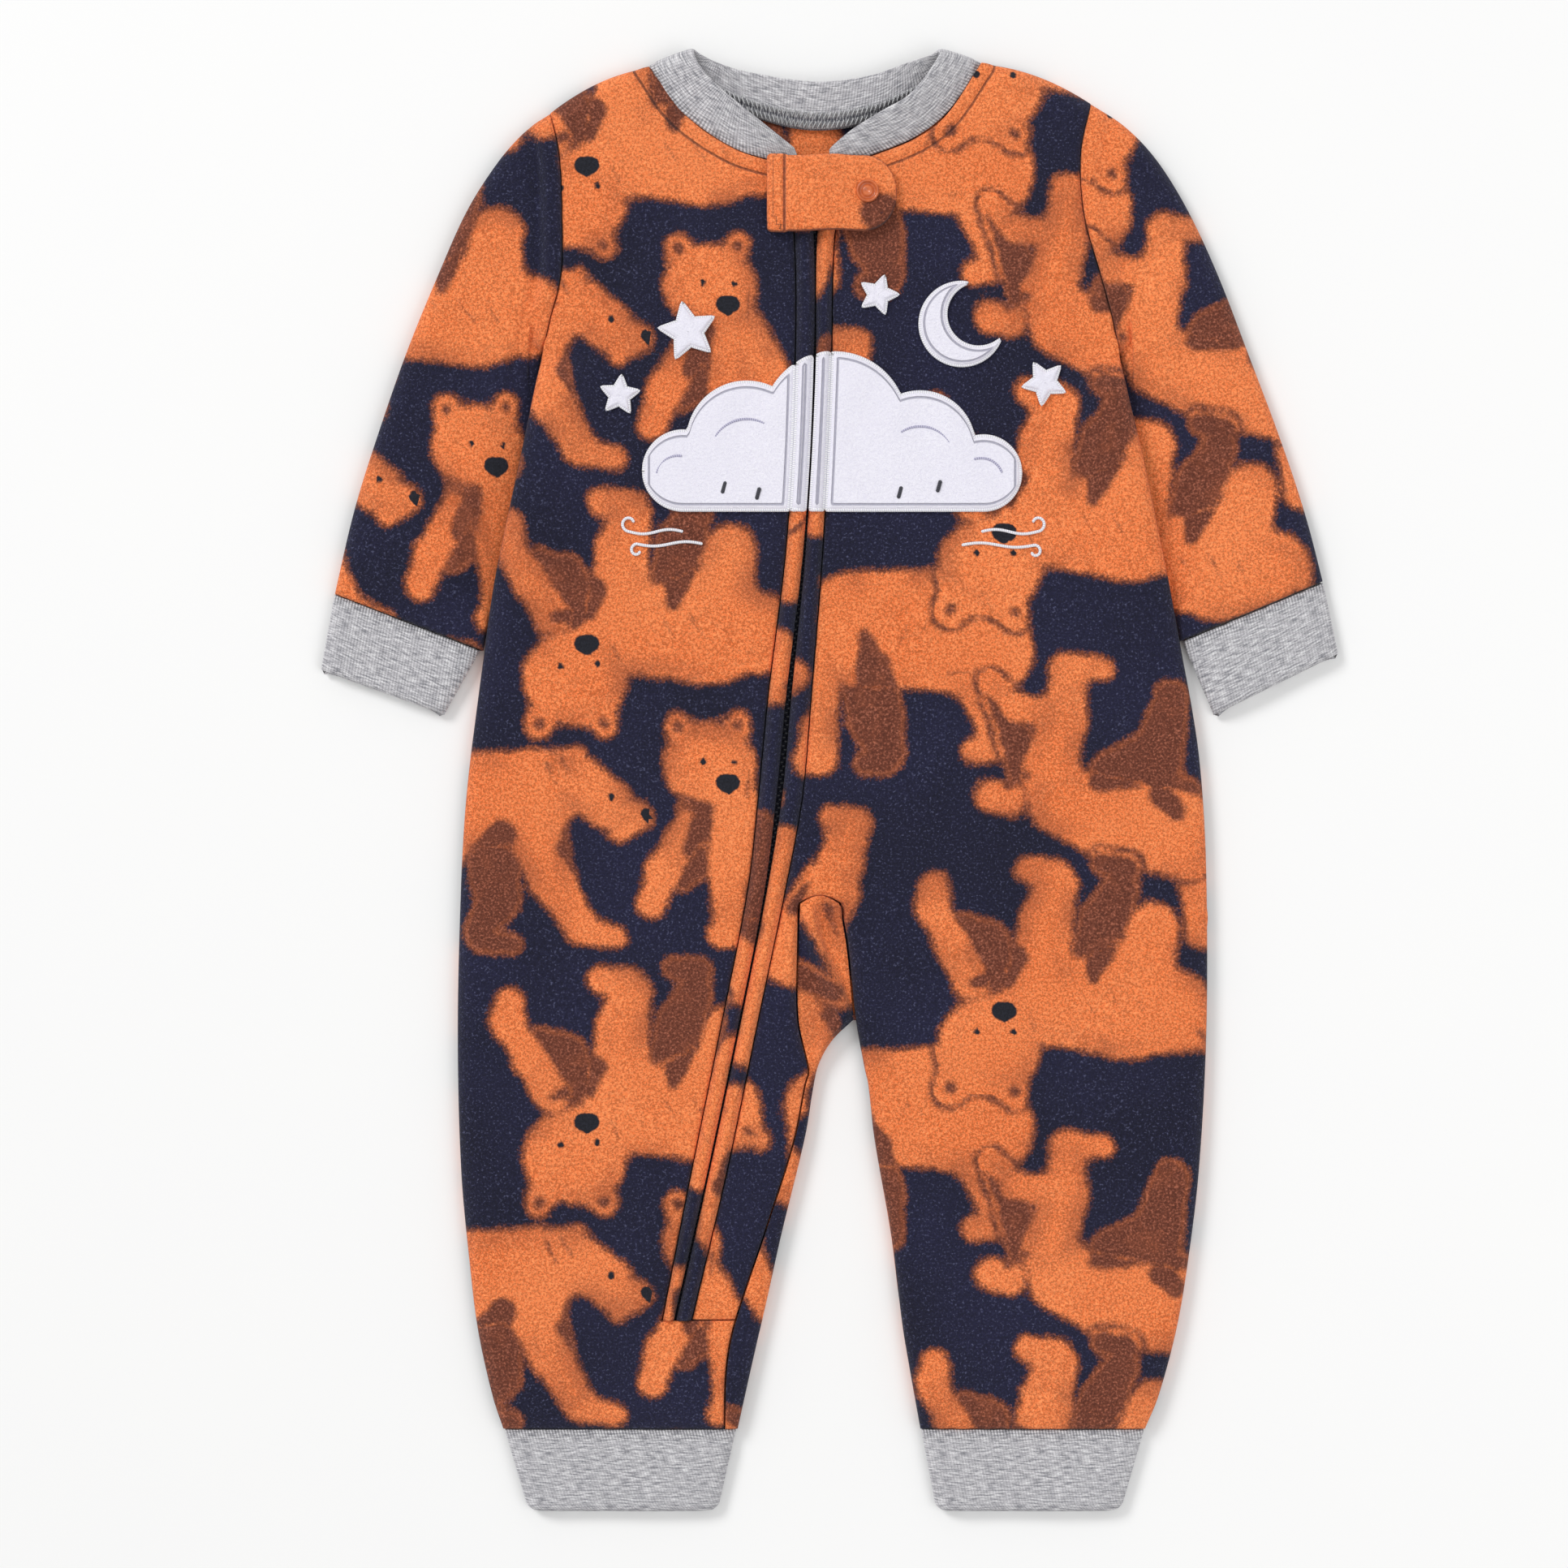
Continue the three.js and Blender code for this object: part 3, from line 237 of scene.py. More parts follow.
def clothPiece(name, points, thick, nodes, material, around=False,
               keep=None, printAt=None, fields=None, uv=None, flip=False, stitch=None):
    # points is a rows by columns grid of the outside; printAt gives each point's place on the printed cloth
    rows, columns = points.shape[:2]
    quads = gridQuads(rows, columns, around, keep)
    if flip:
        quads = quads[:, ::-1]
    thick = np.broadcast_to(thick, (rows, columns)).ravel()
    solid, faces = shellFrom(points.reshape(-1, 3), quads, thick)
    solid[rows * columns:, 2] = np.maximum(solid[rows * columns:, 2], 0.3)
    if printAt is not None:
        fields = printFields(*[np.asarray(p, float).ravel() for p in printAt])
    fields = {key: np.tile(values, 2) for key, values in zip(("fur", "brown", "dark"), fields or [])}
    if stitch is not None:
        fields["stitch"] = np.tile(stitchField(stitch).ravel(), 2)
    made = meshObject(name, solid, faces, fields, None if uv is None else np.tile(uv.reshape(-1, 2), (2, 1)))
    return finishPiece(made, nodes, material)


def tubeAlong(line, radius, sides, flat, closed):
    # rings round a line: each ring stands square to the line, and its height may be flattened
    line = np.array(line, float)
    count = len(line)
    if closed:
        ahead = np.roll(line, -1, axis=0) - np.roll(line, 1, axis=0)
    else:
        ahead = np.gradient(line, axis=0)
    ahead /= np.linalg.norm(ahead, axis=1, keepdims=True) + 1e-12
    side = np.cross(ahead, [0, 0, 1.0])
    side /= np.linalg.norm(side, axis=1, keepdims=True) + 1e-12
    up = np.cross(side, ahead)
    angle = np.arange(sides) * 2 * np.pi / sides
    size = np.broadcast_to(radius, (count,)).astype(float).copy()
    if not closed:
        size[[0, -1]] *= 0.35
    rings = line[:, None] + size[:, None, None] * (np.cos(angle)[None, :, None] * side[:, None]
                                                  + flat * np.sin(angle)[None, :, None] * up[:, None])
    walked = np.repeat(lengthAlong(line)[:, None], sides, 1)
    uv = np.stack([np.repeat((angle / (2 * np.pi))[None], count, 0), walked], -1)
    return rings, uv


def loopQuads(rows, sides):
    # rings joined into a tube whose last ring meets the first
    last, first = np.arange(sides) + (rows - 1) * sides, np.arange(sides)
    joint = np.stack([last, first, np.roll(first, -1), np.roll(last, -1)], 1)
    return np.vstack([gridQuads(rows, sides, True), joint])


def tubePiece(name, lines, radius, material, sides=8, flat=1.0, closed=False):
    # several tubes in one mesh, each a loop or capped at both ends
    allPoints, allQuads, allUv, start = [], [], [], 0
    for line in lines:
        rings, uv = tubeAlong(line, radius, sides, flat, closed)
        allPoints.append(rings.reshape(-1, 3))
        allQuads.append((loopQuads(len(rings), sides) if closed else closedTube(len(rings), sides, 1))
                        + start)
        allUv.append(uv.reshape(-1, 2))
        start += len(rings) * sides
    made = meshObject(name, np.vstack(allPoints), np.vstack(allQuads), None, np.vstack(allUv))
    return finishPiece(made, [], material)


# The printed cloth: brown bears on navy, each a soft union of tapered strokes given as
# (x, y, radius, x, y, radius), in rows that repeat. Each field is a distance in millimetres, below 0 inside.

bearPoses = {
    # side view, head low, walking to the right
    "stride": dict(
        fur=[(-36, -2, 20, -10, 0, 19), (-8, 6, 13, 6, 6, 11), (12, 3, 11.5, 22, -3, 9.5),
             (22, -5, 9.5, 32, -8, 6.2), (35, -9, 4.6, 26, -15, 5),
             (4, 15, 4.2, 9, 17, 3.4), (-10, -10, 14, -2, -34, 9), (-2, -34, 9, 9, -52, 7),
             (10, -55, 6, 24, -58, 5.2),
             (-44, -10, 16, -56, -36, 10), (-56, -36, 9, -58, -54, 6.6), (-56, -57, 6, -46, -58, 5)],
        behind=[(-26, -18, 13, -24, -42, 9.5), (-24, -42, 9, -32, -56, 6), (-30, -60, 5, -18, -61, 4.6)],
        patch=[(6, -13, 3.4, 4, -22, 5), (4, -22, 4, 7, -30, 2.5), (-22, -16, 7, -30, -28, 9),
               (2, 15, 1.5, 6, 8, 0.9), (-4, 13, 1.5, 0, 5, 0.9),
               (30, -1, 1.6, 38, -3, 1.4)],
        dark=[(37, -7.5, 2.5, 38.4, -10.6, 1.4), (22.5, -0.5, 1.5, 22.5, -1, 1.4)]),
    # front view, one arm swung out, the other leg set down
    "stand": dict(
        fur=[(-2, 2, 18.5, 2, 0, 18.5), (-13.5, 17, 6.4, -14, 19, 5.8),
             (11.5, 18, 6, 12, 20, 5.6), (6, -8, 10, 8, -10, 9),
             (-8, -24, 8, -20, -44, 7.4), (-20, -44, 7.4, -25, -58, 7), (8, -20, 12, 9, -44, 9.5),
             (9, -44, 9.5, 8, -66, 7), (4, -72, 5.6, 13, -71, 6),
             (14, -20, 12, 24, -36, 10), (24, -36, 10, 27, -60, 7.4), (27, -66, 6, 32, -66, 5.4)],
        behind=[(-3, -20, 12, -7, -38, 10.5), (-7, -38, 9, -12, -46, 7)],
        patch=[(-12, -14, 4, -2, -18, 4), (-2, -18, 5, -6, -34, 7), (-13.5, 18, 3.2, -14, 18.6, 3),
               (11.7, 19, 3, 12, 19.6, 2.8), (17, -2, 1, 16, -12, 1.2)],
        dark=[(-3, 3, 1.5, -3, 3.4, 1.4), (10.5, 2.6, 1.4, 10.5, 3, 1.3),
              (6, -6, 3.6, 9.4, -6, 3.6), (7.8, -8.4, 2.6, 7.8, -9, 2.2)]),
    # on its back, head to the left and upside down, paws up
    "lie": dict(
        fur=[(-2, 0, 19, 3, -1, 19), (-14, -17, 6.4, -15, -19, 5.8), (11, -18, 6, 12, -19.6, 5.6),
             (5, 10, 10.5, 6, 12, 9.5),
             (24, 17, 17, 56, 19, 23), (56, 19, 23, 76, 16, 17), (20, 24, 15, 22, 52, 10.5),
             (22, 52, 10.5, 26, 66, 9), (14, 72, 6, 24, 70, 7),
             (60, 28, 15, 66, 50, 11), (86, 8, 6, 92, 3, 4.5),
             (-8, 26, 8, -16, 40, 6.8), (-16, 40, 6.8, -25, 56, 6.6), (-25, 56, 6.6, -24, 64, 6.4)],
        behind=[(2, 22, 12, -2, 42, 9), (-2, 42, 8, -12, 48, 6), (44, 30, 14, 46, 52, 10.5),
                (46, 52, 10, 52, 66, 7.4), (44, 76, 5, 54, 74, 5.6)],
        patch=[(-7, 25, 3, 6, 28, 5), (6, 28, 5, 10, 36, 6), (16, 14, 1.0, 19, 7, 0.6),
               (46, 47, 9.5, 42, 29, 3.6), (38, 22, 0.8, 43, 14, 0.4), (49, 23, 0.8, 55, 14, 0.4),
               (61, 20, 0.6, 65, 13, 0.4),
               (-14.4, -18, 3.2, -15, -18.6, 3), (11.4, -18.6, 3, 12, -19, 2.8), (86, 8, 2, 91, 4, 1.6)],
        dark=[(-5, 5, 1.4, -5, 5.4, 1.3), (10, 5.4, 1.4, 10, 5.8, 1.3),
              (4.4, 14, 3.6, 7.6, 14, 3.6), (6, 11.8, 2.4, 6, 11.2, 2)]),
    # seen from behind, walking off to the upper right
    "leave": dict(
        fur=[(-16, 4, 24, 20, 4, 25), (20, 4, 25, 36, -4, 21), (34, 22, 10, 42, 20, 8),
             (-34, 6, 12, -33, -22, 9.5), (-33, -22, 9.5, -31, -46, 7.6),
             (-38, -50, 5, -30, -50, 5.6), (36, -20, 11, 42, -38, 8), (42, -44, 6.4, 32, -46, 5.4),
             (44, -40, 5.6, 49, -38, 4.4)],
        behind=[(-12, -12, 12, -8, -32, 11.5), (-8, -32, 11, -4, -46, 8), (-12, -51, 5, -4, -50, 6)],
        patch=[(-13, 2, 3.4, -9, -12, 8), (-9, -12, 8, -7, -26, 10.5),
               (42, 22, 4, 46, 18, 3.6), (5, 6, 0.7, 1, -3, 0.4), (13, 8, 0.7, 10, 0, 0.4),
               (22, -14, 0.8, 36, -12, 0.5)],
        dark=[]),
    # on its side with a leg in the air
    "loll": dict(
        fur=[(-14, -8, 15, 10, -18, 17), (10, -18, 18, 34, -22, 18), (-20, 4, 12, -14, 26, 9.5),
             (-14, 26, 9.5, -12, 44, 7.4), (-14, 47, 5.6, 2, 46, 5),
             (-44, -6, 7, -36, -8, 7), (-40, 36, 4.6, -44, 40, 4.4), (-34, 30, 6.4, -22, 28, 6)],
        behind=[(8, 2, 12, 20, 12, 8), (24, 8, 11, 30, 34, 7.5), (20, -4, 14, 34, -8, 10),
                (-34, 18, 6, -42, 34, 4.6), (-34, 18, 7, -28, -2, 8)],
        patch=[(26, -6, 6, 32, -12, 5), (0, 0, 5, 16, 2, 6), (-37, -2, 2.5, -30, 2, 3)],
        dark=[]),
}
bearPoses["reach"] = dict(fur=[(0, 0, 9.5, 3, 12, 8), (-4, 17, 5.4, 6, 15, 6.4), (-5, -12, 13, -20, -38, 15)],
                          behind=[(-12, -24, 5, -18, -34, 6)], patch=[(-14, -10, 2, -20, -20, 4)], dark=[])
bearRepeat = dict(width=336, height=196, reach=112)
cutFrom = {  # how far along and up the printed cloth each piece was cut
    "frontLeft": (160, 0), "frontRight": (175, 0), "backPanel": (70, 30), "crotchGusset": (82, 156),
    "sleeveLeft": (255, -130), "sleeveRight": (135, -180), "zipWeltLeft": (8, 54), "zipWeltRight": (96, -58),
}
bearRows = [  # pose, x, y, turn in degrees, facing, size
    ("lie", 55, 42, 2, 1, 1.0), ("stride", 48, -6, 0, 1, 1.0), ("stand", 111, 5, 0, 1, 0.95),
    ("leave", 202, 58, 0, 1, 1.0), ("reach", 180, -32, 0, 1, 1.0),
    ("loll", 285, 0, 0, 1, 1.0), ("lie", 240, -108, -2, 1, 1.0),
]


def strokeDistance(x, y, strokes, blend=0.0):
    # least distance to the tapered strokes, joined softly over the blend's width
    least = np.full(x.shape, 1e3)
    for ax, ay, ar, bx, by, br in strokes:
        dx, dy = bx - ax, by - ay
        t = np.clip(((x - ax) * dx + (y - ay) * dy) / (dx * dx + dy * dy), 0, 1)
        d = np.hypot(x - ax - t * dx, y - ay - t * dy) - lerp(ar, br, t)
        if blend:
            h = np.clip(0.5 + 0.5 * (least - d) / blend, 0, 1)
            least = lerp(least, d, h) - blend * h * (1 - h)
        else:
            least = np.minimum(least, d)
    return least


def repeats(places, step, reach):
    # the numbers of the repeats that come within reach of the places
    return range(int(np.floor((places.min() - reach) / step)),
                 int(np.ceil((places.max() + reach) / step)) + 1)


def cutPlace(name, x, y):
    # the piece's own places moved to where it was cut
    along, up = cutFrom[name]
    return x + along, y + up


def printFields(x, y):
    # the bears repeat in rows and columns; where two meet, the later one lies on top, with a brown edge
    fur, brown, dark = np.full(x.shape, 60.0), np.full(x.shape, 60.0), np.full(x.shape, 60.0)
    wide, high, reach = bearRepeat["width"], bearRepeat["height"], bearRepeat["reach"]
    for pose, px, py, turn, facing, size in bearRows:
        c, s = np.cos(np.radians(turn)), np.sin(np.radians(turn))
        strokes = bearPoses[pose]
        for i in repeats(x - px, wide, reach):
            for j in repeats(y - py, high, reach):
                u, v = x - px - i * wide, y - py - j * high
                near = u * u + v * v < reach ** 2
                if not near.any():
                    continue
                bx = (u[near] * c + v[near] * s) / size * facing
                by = (v[near] * c - u[near] * s) / size
                front = strokeDistance(bx, by, strokes["fur"], 4) * size
                behind = strokeDistance(bx, by, strokes["behind"], 3) * size
                patch = strokeDistance(bx, by, strokes["patch"], 2) * size
                whole = np.minimum(front, behind)
                mark = np.minimum(np.maximum(behind, -front - 1.5), np.maximum(patch, front - 1))
                eyes = np.full(bx.shape, 60.0)
                if strokes["dark"]:
                    eyes = strokeDistance(bx, by, strokes["dark"]) * size
                inside = whole < 0
                brown[near] = np.where(inside, mark, np.minimum(brown[near], np.abs(whole - 1.8) - 2))
                dark[near] = np.where(inside, eyes, np.where(whole < 2, 60, dark[near]))
                fur[near] = np.minimum(fur[near], whole)
    return fur, brown, dark


# Materials

def wire(tree, output, socket):
    # one link from an output to a socket
    tree.links.new(output, socket)


def newMaterial(name):
    # a Principled shader wired to the output, and nothing else
    material = bpy.data.materials.new(name)
    material.use_nodes = True
    tree = material.node_tree
    tree.nodes.clear()
    output = tree.nodes.new("ShaderNodeOutputMaterial")
    shader = tree.nodes.new("ShaderNodeBsdfPrincipled")
    wire(tree, shader.outputs[0], output.inputs["Surface"])
    return material, tree, shader


def plug(tree, value, socket):
    # a link when the value is another node's output, otherwise the socket's own value
    if hasattr(value, "is_linked"):
        wire(tree, value, socket)
    else:
        socket.default_value = value


def sums(tree, kind, a, b=0.0, c=0.0):
    # one sum of up to three values, of the kind that its name says
    node = tree.nodes.new("ShaderNodeMath")
    node.operation = kind
    for k, value in enumerate((a, b, c)):
        plug(tree, value, node.inputs[k])
    return node.outputs[0]


def times(tree, a, b):
    # a times b
    return sums(tree, "MULTIPLY", a, b)


def timesPlus(tree, a, b, c):
    # a times b, plus c
    return sums(tree, "MULTIPLY_ADD", a, b, c)


def ramp(tree, value, low, high, toLow=0.0, toHigh=1.0):
    # smooth step of the value between low and high
    node = tree.nodes.new("ShaderNodeMapRange")
    node.interpolation_type = "SMOOTHSTEP"
    for key, number in (("Value", value), ("From Min", low), ("From Max", high),
                        ("To Min", toLow), ("To Max", toHigh)):
        plug(tree, number, node.inputs[key])
    return node.outputs[0]


def mixColour(tree, share, a, b, kind="MIX"):
    # the first colour at share 0, the second at share 1
    node = tree.nodes.new("ShaderNodeMix")
    node.data_type = "RGBA"
    node.blend_type = kind
    plug(tree, share, node.inputs["Factor"])
    plug(tree, a, node.inputs[6])
    plug(tree, b, node.inputs[7])
    return node.outputs[2]


def shadeBy(tree, base, share):
    # the colour's three parts times one share
    tint = tree.nodes.new("ShaderNodeCombineColor")
    for part in tint.inputs:
        wire(tree, share, part)
    return mixColour(tree, 1.0, base, tint.outputs[0], "MULTIPLY")


def noise(tree, vector, scale, detail=2.0, rough=0.5):
    # soft cloudy noise, 0 to 1, at places times the scale
    node = tree.nodes.new("ShaderNodeTexNoise")
    plug(tree, vector, node.inputs["Vector"])
    node.inputs["Scale"].default_value = scale
    node.inputs["Detail"].default_value = detail
    node.inputs["Roughness"].default_value = rough
    return node.outputs[0]


def attribute(tree, name):
    # a number kept on the mesh's points
    node = tree.nodes.new("ShaderNodeAttribute")
    node.attribute_name = name
    return node.outputs["Fac"]


def colour(red, green, blue):
    # screen values 0 to 255 turned into linear light
    values = [(v / 255 / 12.92) if v < 10.3 else (((v / 255 + 0.055) / 1.055) ** 2.4)
              for v in (red, green, blue)]
    return (*values, 1.0)


def stitchAndShadeLine(tree, width):
    # 1 on a dark line, 0 past its half width: a stitched groove with painted shade in it, and at the tab's
    #                                          rim and the back of the collar painted shadow alone
    away = sums(tree, "ABSOLUTE", sums(tree, "ADD", attribute(tree, "stitch"), -100.0))
    return ramp(tree, away, 0.1, width, 1.0, 0.0)


def coverShader(tree, shader, base, rough, height, depth, settings):
    # colour and roughness from nodes, relief from the height times the depth, the rest plain numbers
    wire(tree, base, shader.inputs["Base Color"])
    wire(tree, rough, shader.inputs["Roughness"])
    bump = tree.nodes.new("ShaderNodeBump")
    bump.inputs["Distance"].default_value = depth
    bump.inputs["Strength"].default_value = 1.0
    wire(tree, height, bump.inputs["Height"])
    wire(tree, bump.outputs[0], shader.inputs["Normal"])
    for key, number in settings.items():
        shader.inputs[key].default_value = number


def makeNapGroup():
    # short pile: grains of about a millimetre, with finer fibres in them
    group = bpy.data.node_groups.new("napOfCloth", "ShaderNodeTree")
    for name, kind in (("Place", "NodeSocketVector"), ("Grain", "NodeSocketFloat")):
        group.interface.new_socket(name, in_out="INPUT", socket_type=kind)
    for name in ("Height", "Fleck", "Drift"):
        group.interface.new_socket(name, in_out="OUTPUT", socket_type="NodeSocketFloat")
    give, take = group.nodes.new("NodeGroupInput"), group.nodes.new("NodeGroupOutput")
    scaled = group.nodes.new("ShaderNodeVectorMath")
    scaled.operation = "SCALE"
    wire(group, give.outputs["Place"], scaled.inputs[0])
    wire(group, give.outputs["Grain"], scaled.inputs["Scale"])
    place = scaled.outputs[0]
    coarse, fine = noise(group, place, 1.0, 2.0), noise(group, place, 2.7, 2.0, 0.7)
    drift = noise(group, place, 0.018, 3.0)
    wire(group, timesPlus(group, fine, 0.8, coarse), take.inputs["Height"])
    mixed = timesPlus(group, fine, 0.85, times(group, coarse, 0.5))
    wire(group, ramp(group, mixed, 0.47, 0.84), take.inputs["Fleck"])
    wire(group, ramp(group, drift, 0.3, 0.7), take.inputs["Drift"])
    return group


napGroup = makeNapGroup()


def napNode(tree, grain):
    # the nap's height, fleck and drift at this grain, and the place on the object
    place = tree.nodes.new("ShaderNodeTexCoord")
    node = tree.nodes.new("ShaderNodeGroup")
    node.node_tree = napGroup
    wire(tree, place.outputs["Object"], node.inputs["Place"])
    node.inputs["Grain"].default_value = grain
    return node.outputs["Height"], node.outputs["Fleck"], node.outputs["Drift"], place.outputs["Object"]


# painted light in the fleece colours: tips is a painted highlight on the nap's lightest flecks, the colour
# after rust is a painted highlight on the brown's fibres, and seam darkens stitched grooves with painted
# shade
fleece = dict(orange=colour(244, 129, 70), deepOrange=colour(234, 115, 57), brown=colour(110, 56, 39),
              rust=colour(164, 88, 56), brownGlint=colour(176, 108, 84), navy=colour(30, 30, 58),
              deepNavy=colour(23, 23, 46), dark=colour(30, 31, 40), seam=colour(60, 32, 34),
              glint=colour(104, 108, 140), tips=colour(252, 183, 126), grain=950.0, sheen=0.1, bump=0.0007)


def makeFleece():
    # orange where the fur field is well below 0, a brown fringe at its edge, navy above 0, frayed by noise
    material, tree, shader = newMaterial("printed fleece")
    height, fleck, drift, place = napNode(tree, fleece["grain"])
    fray = timesPlus(tree, noise(tree, place, 760, 3.0, 0.8), 6.0, -3.0)
    wander = timesPlus(tree, noise(tree, place, 130, 2.0), 3.0, -1.5)
    shift = sums(tree, "ADD", fray, wander)
    fur = sums(tree, "ADD", attribute(tree, "fur"), shift)
    brown = sums(tree, "ADD", attribute(tree, "brown"), timesPlus(tree, fray, 0.7, wander))
    dark = sums(tree, "ADD", attribute(tree, "dark"), times(tree, fray, 0.16))
    orange = mixColour(tree, drift, fleece["orange"], fleece["deepOrange"])
    # painted highlight: the nap's lightest flecks are mixed towards a pale peach
    orange = mixColour(tree, ramp(tree, fleck, 0.45, 1.0, 0.0, 0.3), orange, fleece["tips"])
    strokes = ramp(tree, noise(tree, place, 46, 4.0, 0.7), 0.56, 0.8, 0.0, 0.2)
    orange = mixColour(tree, strokes, orange, fleece["rust"])
    navy = mixColour(tree, drift, fleece["navy"], fleece["deepNavy"])
    shaded = times(tree, ramp(tree, fur, -12.0, -2.0),
                   ramp(tree, noise(tree, place, 34, 3.0), 0.42, 0.66, 0.0, 0.6))
    orange = mixColour(tree, shaded, orange, fleece["rust"])
    fibres = noise(tree, place, 1050, 2.0, 0.65)
    # brown with painted highlight specks on its fibres
    umber = mixColour(tree, ramp(tree, fibres, 0.46, 0.74, 0.0, 0.62), fleece["brown"], fleece["brownGlint"])
    umber = mixColour(tree, ramp(tree, noise(tree, place, 58, 3.0, 0.6), 0.5, 0.7, 0.0, 0.3),
                      umber, fleece["rust"])
    base = mixColour(tree, ramp(tree, fur, -2.5, 0.2), orange, umber)
    base = mixColour(tree, ramp(tree, brown, -2.4, 0.8, 1.0, 0.0), base, umber)
    base = mixColour(tree, ramp(tree, fur, 0.0, 1.8), base, navy)
    base = mixColour(tree, ramp(tree, dark, -0.3, 0.4, 1.0, 0.0), base, fleece["dark"])
    contrast = ramp(tree, fur, -0.5, 2.0, 0.29, 0.34)
    flecks = timesPlus(tree, timesPlus(tree, fleck, 2.0, -1.0), contrast, 1.0)
    flecks = sums(tree, "ADD", flecks, timesPlus(tree, fibres, 1.8, -0.88))
    flecks = sums(tree, "MAXIMUM", flecks, 0.76)
    base = shadeBy(tree, base, flecks)
    glints = ramp(tree, fibres, 0.56, 0.74, 0.0, 0.6)
    base = mixColour(tree, times(tree, glints, ramp(tree, fur, 0.0, 3.0)), base, fleece["glint"])
    # dark line along the stitch field: a stitched groove with painted shade in it, and on the tab a painted
    # shadow line along the rim
    line = stitchAndShadeLine(tree, 0.65)
    base = mixColour(tree, times(tree, line, 0.6), base, fleece["seam"])
    height = timesPlus(tree, line, -1.4, height)
    rough = ramp(tree, fleck, 0.0, 1.0, 0.99, 0.88)
    settings = {"Sheen Weight": fleece["sheen"], "Sheen Roughness": 0.6, "Specular IOR Level": 0.15}
    coverShader(tree, shader, base, rough, height, fleece["bump"], settings)
    return material


fleeceCloth = makeFleece()

# thread is the colour of painted shade: the dark dotted row between the collar's cover stitch rows and the
# shadow under the band's lower edge
rib = dict(light=colour(244, 243, 245), middle=colour(204, 202, 206),
           deep=colour(140, 140, 147), thread=colour(62, 64, 76), pitch=1.25, course=0.6, bump=0.00016)


def knitPlaces(tree):
    # the knit map in millimetres, and its two parts
    uv = tree.nodes.new("ShaderNodeUVMap")
    uv.uv_map = "knit"
    split = tree.nodes.new("ShaderNodeSeparateXYZ")
    wire(tree, uv.outputs[0], split.inputs[0])
    return uv.outputs[0], split.outputs[0], split.outputs[1]


def makeRib():
    # uv in millimetres: u across the ribs, v along them; grey flecks are drawn out across the ribs
    material, tree, shader = newMaterial("melange rib")
    uv, u, v = knitPlaces(tree)
    across = sums(tree, "SINE", times(tree, u, 2 * np.pi / rib["pitch"]))
    along = sums(tree, "SINE", times(tree, v, 2 * np.pi / rib["course"]))
    stretch = tree.nodes.new("ShaderNodeMapping")
    wire(tree, uv, stretch.inputs["Vector"])
    stretch.inputs["Scale"].default_value = (0.22, 1.5, 1)
    streaks = noise(tree, stretch.outputs[0], 1.0, 3.0, 0.6)
    grains = noise(tree, uv, 3.1, 2.0, 0.7)
    blend = timesPlus(tree, grains, 0.35, times(tree, streaks, 0.72))
    base = mixColour(tree, ramp(tree, blend, 0.4, 0.57), rib["deep"], rib["middle"])
    base = mixColour(tree, ramp(tree, blend, 0.54, 0.68), base, rib["light"])
    # painted shade: the valleys between ribs are darkened, most near the seam where the ribs pucker
    pucker = ramp(tree, v, 0.0, 6.0, 0.55, 0.14)
    shade = timesPlus(tree, ramp(tree, across, -1.0, 0.5, 1.0, 0.0), times(tree, pucker, -1.0), 1.0)
    base = shadeBy(tree, base, shade)
    # painted shade at the back of the collar, broken into dots by the ribs
    shadeDots = ramp(tree, across, -0.1, 0.6, 0.22, 0.95)
    base = mixColour(tree, times(tree, stitchAndShadeLine(tree, 2.6), shadeDots), base, rib["thread"])
    height = timesPlus(tree, along, 0.22, timesPlus(tree, grains, 0.7, across))
    rough = ramp(tree, blend, 0.3, 0.8, 0.96, 0.84)
    coverShader(tree, shader, base, rough, height, rib["bump"],
                {"Sheen Weight": 0.15, "Specular IOR Level": 0.2})
    return material


ribCloth = makeRib()


def makeNapped(name, light, deep, line, grain, depth, rough=0.95, sheen=0.2):
    # plain napped cloth: the nap's flecks shade one colour into another, darker along a stitched line, where
    # painted shade darkens the groove
    material, tree, shader = newMaterial(name)
    height, fleck, drift, _ = napNode(tree, grain)
    base = mixColour(tree, fleck, deep, light)
    base = mixColour(tree, times(tree, drift, 0.25), base, deep)
    stitched = stitchAndShadeLine(tree, 0.6)
    base = mixColour(tree, times(tree, stitched, 0.6), base, line)
    height = timesPlus(tree, stitched, -1.6, height)
    shine = ramp(tree, fleck, 0.0, 1.0, rough, rough - 0.12)
    coverShader(tree, shader, base, shine, height, depth, {"Sheen Weight": sheen, "Specular IOR Level": 0.15})
    return material


feltCloth = makeNapped("white felt", light=colour(248, 246, 255), deep=colour(234, 231, 245),
                       line=colour(122, 120, 150), grain=1000.0, depth=0.0004)


def makeThread(name, light, deep, pitch, rough=0.6):
    # uv: u round the cord, v along it in millimetres; stitches lie side by side, slightly slanted
    material, tree, shader = newMaterial(name)
    uv, u, v = knitPlaces(tree)
    slant = timesPlus(tree, u, 1.2, times(tree, v, 2 * np.pi / pitch))
    wave = sums(tree, "SINE", slant)
    uneven = noise(tree, uv, 1.7, 2.0)
    share = ramp(tree, timesPlus(tree, uneven, 0.8, wave), -0.7, 1.2)
    shine = ramp(tree, wave, -1.0, 1.0, rough + 0.15, rough)
    coverShader(tree, shader, mixColour(tree, share, deep, light),
                shine, wave, 0.00014, {"Sheen Weight": 0.25})
    return material


whiteThread = makeThread("white satin stitch", colour(255, 255, 255), colour(226, 224, 240), 0.9)
greyThread = makeThread("grey seam thread", colour(255, 255, 255), colour(232, 233, 238), 0.8)
shadeThread = makeThread("lavender stitch", colour(206, 203, 226), colour(160, 157, 186), 0.9)
darkThread = makeThread("charcoal stitch", colour(70, 70, 82), colour(32, 32, 42), 0.55)


